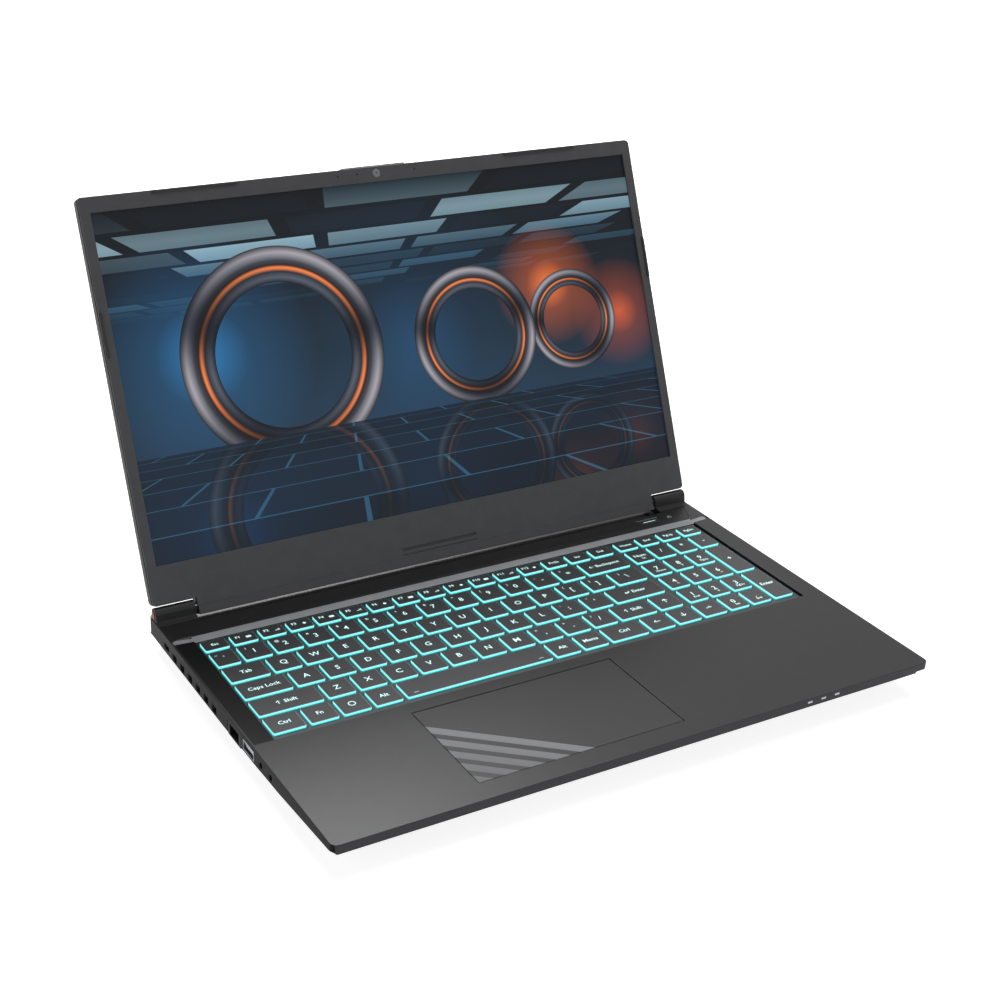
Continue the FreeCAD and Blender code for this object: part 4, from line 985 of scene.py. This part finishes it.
@dataclass
class Keyboard:
    """Key caps with lit walls and legends."""

    cap_height: float = 2.5 * MM
    corner: float = 1.0 * MM
    edge: float = 0.18 * MM
    wall_sunk: float = 0.2 * MM
    top_slope: float = 0.97
    rim_slope: float = 0.35
    lift: float = 0.03 * MM
    letter: float = 5.5 * MM
    word: float = 4.2 * MM
    small: float = 3.2 * MM
    weight: float = 0.05 * MM
    room_share: float = 0.72
    mark_share: float = 0.85
    mark_left: float = 3.8 * MM
    mark_up: float = 3.6 * MM
    keypad_right: float = 0.6 * MM
    dash_out: float = 38.0 * MM
    dash_down: float = 4.6 * MM
    sign_keys: range = range(1, 13)
    sign_right: float = 2.9 * MM
    sign_raise: float = 0.4
    sign_width: float = 3.0 * MM
    sign_height: float = 1.9 * MM
    sign_corner: float = 0.3 * MM
    sign_sides: int = 20
    bar_count: int = 4
    bar_pitch: float = 0.8 * MM
    bar_width: float = 0.4 * MM
    bar_start: float = 1.3
    legends: dict[str, list[str]] = field(default_factory=lambda: {
        "function_keys": ["Esc", *("F%d" % n for n in range(1, 13)),
                          "PrtSc", "Ins", "Del", "Home", "End", "PgUp", "PgDn"],
        "number_keys": list("`1234567890-="),
        "backspace_key": ["← Backspace"],
        "top_letter_keys": list("QWERTYUIOP[]\\"),
        "home_letter_keys": list("ASDFGHJKL;'"),
        "enter_key": ["↵ Enter"],
        "lower_letter_keys": list("ZXCVBNM,./"),
        "shift_keys": ["↑ Shift", "↑ Shift"],
        "modifier_keys": ["Tab", "Caps Lock", "Ctrl", "Fn", "○", "Alt", "Alt", "Menu", "Ctrl"],
        "space_bar": [""],
        "arrow_keys": ["↑", "←", "↓", "→"],
        "numpad_keys": ["Num"] + list("/*-7894561230."),
        "numpad_tall_keys": ["+", "Enter"],
    })
    shifted: dict[str, list[str]] = field(default_factory=lambda: {
        "number_keys": list("~!@#$%^&*()_+"),
        "top_letter_keys": [""] * 10 + list("{}|"),
        "home_letter_keys": [""] * 9 + list(":\""),
        "lower_letter_keys": [""] * 7 + list("<>?"),
    })
    keypad: list[str] = field(default_factory=lambda: [
        "Lk", "", "", "", "Home", "↑", "PgUp", "←", "", "→", "End", "↓", "PgDn", "Ins", "Del"])

    def build(self) -> None:
        """Model and dress every group of keys."""
        frame_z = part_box("keyboard_frame")[1].z
        for group, words in self.legends.items():
            self._group(group, words, frame_z)

    def _group(self, group: str, words: list[str], frame_z: float) -> None:
        """Model one group of keys.

        Args:
            group: CAD node of the group.
            words: Legend of each key, from the rear row to the front and from left to right.
            frame_z: Height of the frame's top face.
        """
        pieces = []
        marks = self.shifted.get(group, [""] * len(words))
        for n, (box, word, mark) in enumerate(zip(islands(group), words, marks)):
            pieces.append(self._cap(group, box, frame_z))
            if word:
                pieces.append(self._legend(group, box, word))
            if mark:
                pieces.append(self._small_mark(mark, box, -self.mark_left, self.mark_up))
            if group == "numpad_keys" and self.keypad[n]:
                pieces.append(self._small_mark(self.keypad[n], box, self.keypad_right, -self.mark_up))
            if group == "space_bar":
                for across in (-self.dash_out, self.dash_out):
                    pieces.append(self._small_mark("—", box, across, -self.dash_down))
            if group == "function_keys" and n in self.sign_keys:
                pieces.append(self._sign(n, box))
        seat(join(group + "_caps", pieces), group, stands_for=True)

    def _cap(self, group: str, box: Box, frame_z: float) -> Piece:
        """Model one cap with a dark top and lit walls.

        Args:
            group: CAD node of the cap's group.
            box: Lowest and highest corner of the key.
            frame_z: Height of the frame's top face.

        Returns:
            The cap.
        """
        low, high = box
        cap = block(group + "_cap", (low.x, low.y, high.z - self.cap_height), high, self.corner, self.edge)
        wall = BacklitWall("backlit_polycarbonate_wall", frame_z - self.wall_sunk, high.z)
        set_materials(cap, [Shade.KEY.made(), wall.made(), Shade.RIM.made()])
        for face in cap.data.polygons:
            if face.normal.z > self.top_slope:
                face.material_index = CapFace.TOP
            else:
                face.material_index = CapFace.RIM if face.normal.z > self.rim_slope else CapFace.WALL
        return cap

    def _legend(self, group: str, box: Box, word: str) -> Piece:
        """Write a key's main legend, no wider than the key has room for.

        Args:
            group: CAD node of the key's group.
            box: Lowest and highest corner of the key.
            word: Letters to write.

        Returns:
            The lettering.
        """
        low, high = box
        middle = (low + high) / 2
        size = self.letter if len(word) == 1 else self.word
        shift = 0.0
        if group == "function_keys":
            size = self.small
            shift = self.sign_right if word[1:].isdigit() else 0.0
        spot = (middle.x - shift, middle.y + shift * self.sign_raise, high.z + self.lift)
        legend = lettering(group + "_legend", word, spot, size, self.weight)
        wide, room = legend.dimensions.x, (high.x - low.x) * self.room_share
        if wide > room:
            legend.scale = (room / wide, room / wide, 1.0)
            legend.location = (middle.x * (1 - room / wide), middle.y * (1 - room / wide), 0.0)
            settle(legend)
        Shade.INK.dress(legend)
        return legend

    def _small_mark(self, words: str, box: Box, across: float, up: float) -> Piece:
        """Write a small second legend.

        Args:
            words: Letters to write.
            box: Lowest and highest corner of the key.
            across: Place from the key's middle to the right.
            up: Place from the key's middle to the rear.

        Returns:
            The lettering.
        """
        low, high = box
        spot = ((low.x + high.x) / 2 + across, (low.y + high.y) / 2 + up, high.z + self.lift)
        mark = lettering("small_mark", words, spot, self.small * self.mark_share, self.weight / 2)
        Shade.INK.dress(mark)
        return mark

    def _sign(self, order: int, box: Box) -> Piece:
        """Print the plain sign beside a function key's number.

        Args:
            order: Number of the key in its row.
            box: Lowest and highest corner of the key.

        Returns:
            The sign.
        """
        low, high = box
        x, y, top = (low.x + high.x) / 2 + self.sign_right, (low.y + high.y) / 2, high.z
        wide, tall = self.sign_width / 2, self.sign_height / 2
        kind = Sign(order % len(Sign))
        if kind is Sign.DOT:
            sign = disc("sign", (x, y, top), tall, self.lift, self.lift / 4, self.sign_sides)
        elif kind is Sign.BAR:
            far = (x + wide, y + tall, top + self.lift)
            sign = block("sign", (x - wide, y - tall, top), far, self.sign_corner)
        else:
            bars = []
            for n in range(self.bar_count):
                start = x + (n - self.bar_start) * self.bar_pitch
                rise = self.sign_height * (n + 1) / self.bar_count
                bars.append(block("bar", (start, y - tall, top),
                                  (start + self.bar_width, y - tall + rise, top + self.lift)))
            sign = join("sign", bars)
        Shade.INK.dress(sign)
        return sign


@dataclass
class BaseShell:
    """Cases, hinge towers, touchpad, power button, lights, screws and network contacts of the base."""

    rim: float = 0.3 * MM
    pad_edge: float = 0.2 * MM
    flat_slope: float = 0.8
    side_slope: float = 0.6
    ramp_slope: float = 0.25
    ramp_reach: float = 8.0 * MM
    strip_slope: float = 0.03
    bar_length: float = 9.0 * MM
    bar_width: float = 0.5 * MM
    bar_corner: float = 0.2 * MM
    bar_sunk: float = 0.1 * MM
    bar_proud: float = 0.03 * MM
    icon_radius: float = 1.3 * MM
    icon_line: float = 0.28 * MM
    icon_gap: float = 6.4 * MM
    icon_flatness: float = 0.15
    stroke_share: float = 1.3
    stroke_sunk: float = 0.02 * MM
    stroke_proud: float = 0.025 * MM
    deck_z: float = 19.2 * MM
    cross_length: float = 2.2 * MM
    cross_width: float = 0.5 * MM
    cross_proud: float = 0.02 * MM
    cross_sunk: float = 0.05 * MM
    contact_count: int = 8
    contact: float = 0.4 * MM
    contact_pitch: float = 1.02 * MM
    contact_in: float = 3.0 * MM
    contact_reach: float = 6.0 * MM
    contact_drop: float = 1.6 * MM

    def build(self) -> None:
        """Model and dress the base."""
        self._top_case()
        softened("bottom_case", self.rim, Shade.CASE)
        for side in ("left", "right"):
            softened("hinge_tower_" + side, self.rim, Shade.CASE)
        self._touchpad()
        self._power_button()
        Shade.WINDOW.dress(frame["nodes"]["front_indicators"])
        self._screw_crosses()
        self._network_contacts()

    def _top_case(self) -> None:
        """Soften the top case and paint light and shade on its sides, its front and the slopes round the keys."""
        case = softened("top_case", self.rim, Shade.DECK)
        shades = [Shade.DECK, Shade.RAMP, Shade.DARK_STRIP, Shade.SKIRT, Shade.FRONT]
        set_materials(case, [shade.made() for shade in shades])
        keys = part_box("keyboard_base")
        for face in case.data.polygons:
            face.material_index = shades.index(self._face_shade(face, keys))

    def _face_shade(self, face: bpy.types.MeshPolygon, keys: Box) -> Shade:
        """Choose the finish of one face of the top case, with its painted light and painted shade.

        Args:
            face: Face of the top case.
            keys: Box of the plate under the keys.

        Returns:
            The shade.
        """
        low, high = keys
        flat = face.normal.z > self.flat_slope
        # Side faces get the painted shade.
        if abs(face.normal.x) > self.side_slope:
            return Shade.SKIRT
        # The front face gets the painted light.
        if face.normal.y < -self.side_slope:
            return Shade.FRONT
        # The ramp behind the keys gets the painted highlight.
        if flat and face.normal.y < -self.ramp_slope and face.center.y > high.y - self.ramp_reach:
            return Shade.RAMP
        # The slope left of the keys gets the painted shade.
        if flat and face.normal.x > self.strip_slope and face.center.x < low.x:
            return Shade.DARK_STRIP
        return Shade.DECK

    def _touchpad(self) -> None:
        """Soften the touchpad and print it."""
        pad = softened("touchpad", self.pad_edge, Shade.DECK)
        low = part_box("touchpad")[0]
        set_materials(pad, [PrintedPad("printed_touch_film", (low.x, low.y, 0.0)).made()])

    def _power_button(self) -> None:
        """Soften the power button and add its light bar and the power sign beside it."""
        softened("power_button", self.pad_edge, Shade.CASE)
        low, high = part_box("power_button")
        x, y, top = (low.x + high.x) / 2, (low.y + high.y) / 2, high.z
        long, wide = self.bar_length / 2, self.bar_width / 2
        bar = block("power_light", (x - long, y - wide, top - self.bar_sunk),
                    (x + long, y + wide, top + self.bar_proud), self.bar_corner)
        Shade.INK.dress(bar)
        seat(bar, "power_button")
        self._power_sign(high.x + self.icon_gap, y)

    def _power_sign(self, x: float, y: float) -> None:
        """Print the plain power sign on the deck beside its button.

        Args:
            x: Middle of the sign from left to right.
            y: Middle of the sign from front to rear.
        """
        top, line = self.deck_z, self.icon_line / 2
        bpy.ops.object.select_all(action="DESELECT")
        bpy.ops.mesh.primitive_torus_add(location=(x, y, top), major_radius=self.icon_radius,
                                         minor_radius=line, major_segments=28, minor_segments=8)
        ring = bpy.context.active_object
        ring.scale.z = self.icon_flatness
        settle(ring)
        stroke = block("power_stroke", (x - line, y, top - self.stroke_sunk),
                       (x + line, y + self.icon_radius * self.stroke_share, top + self.stroke_proud))
        for piece in (ring, stroke):
            Shade.MARK.dress(piece)
        seat(join("power_sign", [ring, stroke]), "top_case")

    def _screw_crosses(self) -> None:
        """Model the cross recess in every bottom screw."""
        crosses = []
        sizes = (self.cross_length, self.cross_width)
        for low, high in islands("case_screws"):
            x, y = (low.x + high.x) / 2, (low.y + high.y) / 2
            for wide, deep in (sizes, sizes[::-1]):
                crosses.append(block("cross", (x - wide / 2, y - deep / 2, low.z - self.cross_proud),
                                     (x + wide / 2, y + deep / 2, low.z + self.cross_sunk)))
        cross = join("screw_crosses", crosses)
        Shade.CHIP.dress(cross)
        seat(cross, "case_screws")

    def _network_contacts(self) -> None:
        """Model the sprung contacts in the network socket."""
        low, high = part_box("network_jack")
        start, top = low.x + self.contact_in, high.z - self.contact_drop
        pins = []
        for n in range(self.contact_count):
            y = (low.y + high.y) / 2 + (n - (self.contact_count - 1) / 2) * self.contact_pitch
            pins.append(block("contact", (start, y - self.contact / 2, top - self.contact),
                              (start + self.contact_reach, y + self.contact / 2, top)))
        contacts = join("network_contacts", pins)
        Shade.GOLD.dress(contacts)
        seat(contacts, "network_jack")


@dataclass
class Lid:
    """Back cover, hinge cover, lit panel, camera and the hatch in the chin."""

    edge: float = 0.35 * MM
    cover_edge: float = 0.6 * MM
    screen_low: float = 25.85 * MM
    screen_width: float = 346.0 * MM
    screen_height: float = 194.6 * MM
    ring_radius: float = 2.5 * MM
    ring_depth: float = 0.2 * MM
    ring_edge: float = 0.05 * MM
    lens_radius: float = 0.5 * MM
    lens_share: float = 1.2
    lens_edge: float = 0.03 * MM
    rib_count: int = 36
    rib: float = 0.45 * MM
    rib_depth: float = 0.3 * MM
    rib_sunk: float = 0.15 * MM
    rib_slant: float = -0.6
    slot_length: float = 50.0 * MM
    slot_ends: float = 2.0 * MM
    slot_height: float = 1.1 * MM
    slot_y: float = 4.9 * MM
    face_z: float = 2.6 * MM
    hinge: Point = field(init=False)
    tilt: float = field(init=False)

    def __post_init__(self) -> None:
        """Take the hinge line and the rest angle from the frame."""
        joint = next(j for j in frame["joints"] if j["name"] == "lid_hinge")
        self.hinge = tuple(joint["pos_m"])
        self.tilt = math.radians(180 + joint["range_deg"][0])

    def build(self) -> None:
        """Model and dress the lid."""
        softened("lid_back_cover", self.cover_edge, Shade.COVER)
        softened("hinge_cover", self.edge, Shade.HINGE)
        sizes = (self.screen_low, self.screen_width, self.screen_height)
        panel = LitScreen("lit_screen", self.hinge, self.tilt, *sizes)
        set_materials(frame["nodes"]["display_panel"], [panel.made()])
        self._camera()
        self._chin_hatch()

    def _tip(self, piece: Piece) -> Piece:
        """Turn a piece that was modelled on the closed lid's plane up to the lid's rest angle.

        Args:
            piece: Piece at the origin.

        Returns:
            The same piece.
        """
        piece.location = self.hinge
        piece.rotation_euler = (self.tilt, 0.0, 0.0)
        return settle(piece)

    def _flat_box(self, node: str) -> Box:
        """Measure a lid node on the lid's own plane, from the hinge line.

        Args:
            node: CAD node to measure.

        Returns:
            Its lowest and highest corner there.
        """
        turn = Matrix.Rotation(-self.tilt, 3, "X")
        spots = [turn @ (v.co - Vector(self.hinge)) for v in frame["nodes"][node].data.vertices]
        return Vector(map(min, zip(*spots))), Vector(map(max, zip(*spots)))

    def _camera(self) -> None:
        """Model the camera's ring and lens on its window."""
        low, high = self._flat_box("webcam")
        foot = ((low.x + high.x) / 2, (low.y + high.y) / 2, high.z - self.ring_depth / 2)
        ring = disc("camera_ring", foot, self.ring_radius, self.ring_depth, self.ring_edge)
        lens = disc("camera_lens", foot, self.lens_radius, self.ring_depth * self.lens_share, self.lens_edge)
        Shade.RING.dress(ring)
        Shade.LENS.dress(lens)
        seat(self._tip(join("camera_eye", [ring, lens])), "webcam")

    def _chin_hatch(self) -> None:
        """Model the slanted ribs in the chin's upper slot."""
        ribs = []
        wide, tall = self.rib / 2, self.slot_height / 2
        for n in range(self.rib_count):
            x = (n / (self.rib_count - 1) - 0.5) * (self.slot_length - self.slot_ends)
            rib = block("chin_rib", (-wide, -tall, -self.rib_depth), (wide, tall, 0.0))
            rib.rotation_euler = (0.0, 0.0, self.rib_slant)
            rib.location = (x, self.slot_y, self.face_z - self.rib_sunk)
            settle(rib)
            Shade.BEZEL.dress(rib)
            ribs.append(rib)
        seat(self._tip(join("chin_hatch", ribs)), "screen_bezel")


@dataclass(frozen=True)
class Lamp:
    """One square soft lamp: where it hangs, the point it faces, its side in metres and its watts."""

    name: str
    place: Point
    aim: Point
    size: float
    power: float

    def hang(self) -> None:
        """Add the lamp to the scene."""
        data = bpy.data.lights.new(self.name, "AREA")
        data.size = self.size
        data.energy = self.power
        lamp = bpy.data.objects.new(self.name, data)
        lamp.location = self.place
        lamp.rotation_euler = (Vector(self.aim) - Vector(self.place)).to_track_quat("-Z", "Y").to_euler()
        bpy.context.scene.collection.objects.link(lamp)


@dataclass
class Studio:
    """Camera at the photograph's angle, soft lamps and a pale floor."""

    target: Point = (-0.0259, -0.0425, 0.108)
    azimuth: float = -31.36
    elevation: float = 25.23
    roll: float = 2.328
    distance: float = 0.889
    lens: float = 61.46
    sensor: float = 36.0
    clip: float = 0.01
    world_light: float = 0.07
    floor_size: float = 30.0
    floor_lift: float = 0.86
    lamps: tuple[Lamp, ...] = (
        Lamp("overhead_softbox", (0.85, 0.1, 1.75), (0.0, 0.0, 0.0), 1.0, 13.0),
        Lamp("rear_softbox", (0.25, 1.35, 1.35), (0.0, -0.1, 0.0), 1.0, 58.0),
        Lamp("front_fill", (0.3, -1.7, 0.45), (0.0, 0.0, 0.08), 1.0, 4.5),
        Lamp("under_fill", (0.2, -0.4, -1.3), (0.0, 0.0, 0.0), 1.2, 12.0),
        Lamp("left_fill", (-1.7, -0.6, 0.9), (0.0, 0.0, 0.1), 1.0, 7.0),
    )

    def build(self) -> None:
        """Set the camera, the world, the floor and the lamps."""
        scene = bpy.context.scene
        scene.view_settings.view_transform = "Standard"
        self._camera(scene)
        self._world(scene)
        self._floor()
        for lamp in self.lamps:
            lamp.hang()

    def _camera(self, scene: bpy.types.Scene) -> None:
        """Place the camera.

        Args:
            scene: Scene that is seen through it.
        """
        az, el = math.radians(self.azimuth), math.radians(self.elevation)
        away = Vector((math.sin(az) * math.cos(el), -math.cos(az) * math.cos(el), math.sin(el)))
        roll = Quaternion((0, 0, 1), math.radians(self.roll))
        data = bpy.data.cameras.new("view")
        data.lens = self.lens
        data.sensor_width = self.sensor
        data.clip_start = self.clip
        camera = bpy.data.objects.new("view", data)
        camera.location = Vector(self.target) + away * self.distance
        camera.rotation_mode = "QUATERNION"
        camera.rotation_quaternion = (-away).to_track_quat("-Z", "Y") @ roll
        scene.collection.objects.link(camera)
        scene.camera = camera

    def _world(self, scene: bpy.types.Scene) -> None:
        """Make the world white where the camera or a reflection sees it and dim as a light.

        Args:
            scene: Scene that gets the world.
        """
        world = bpy.data.worlds.new("studio")
        scene.world = world
        world.use_nodes = True
        tree = world.node_tree
        seen = background_ray(partial(add_node, tree))
        level = add_node(tree, "MapRange", {"Value": seen, "To Min": self.world_light})
        feed(tree, tree.nodes["Background"], {"Color": WHITE, "Strength": level})

    def _floor(self) -> None:
        """Lay a large floor under the laptop."""
        bpy.ops.object.select_all(action="DESELECT")
        bpy.ops.mesh.primitive_plane_add(size=self.floor_size)
        floor = bpy.context.active_object
        floor.name = "studio_floor"
        floor.visible_shadow = False
        set_materials(floor, [PaleFloor("pale_floor", self.floor_lift).made()])


def dress_nodes() -> None:
    """Give every CAD node the finish of its slot."""
    for part in frame["record"]["subparts"]:
        SLOT_SHADES[part["material_slot"]].dress(frame["nodes"][part["node"]])


def main() -> None:
    """Build the sub-assemblies in order."""
    logging.basicConfig(level=logging.INFO, format="%(message)s")
    dress_nodes()
    for assembly in (BaseShell(), Keyboard(), Lid(), Studio()):
        assembly.build()
        LOG.info("%s is ready", type(assembly).__name__)


if __name__ == "__main__":
    main()
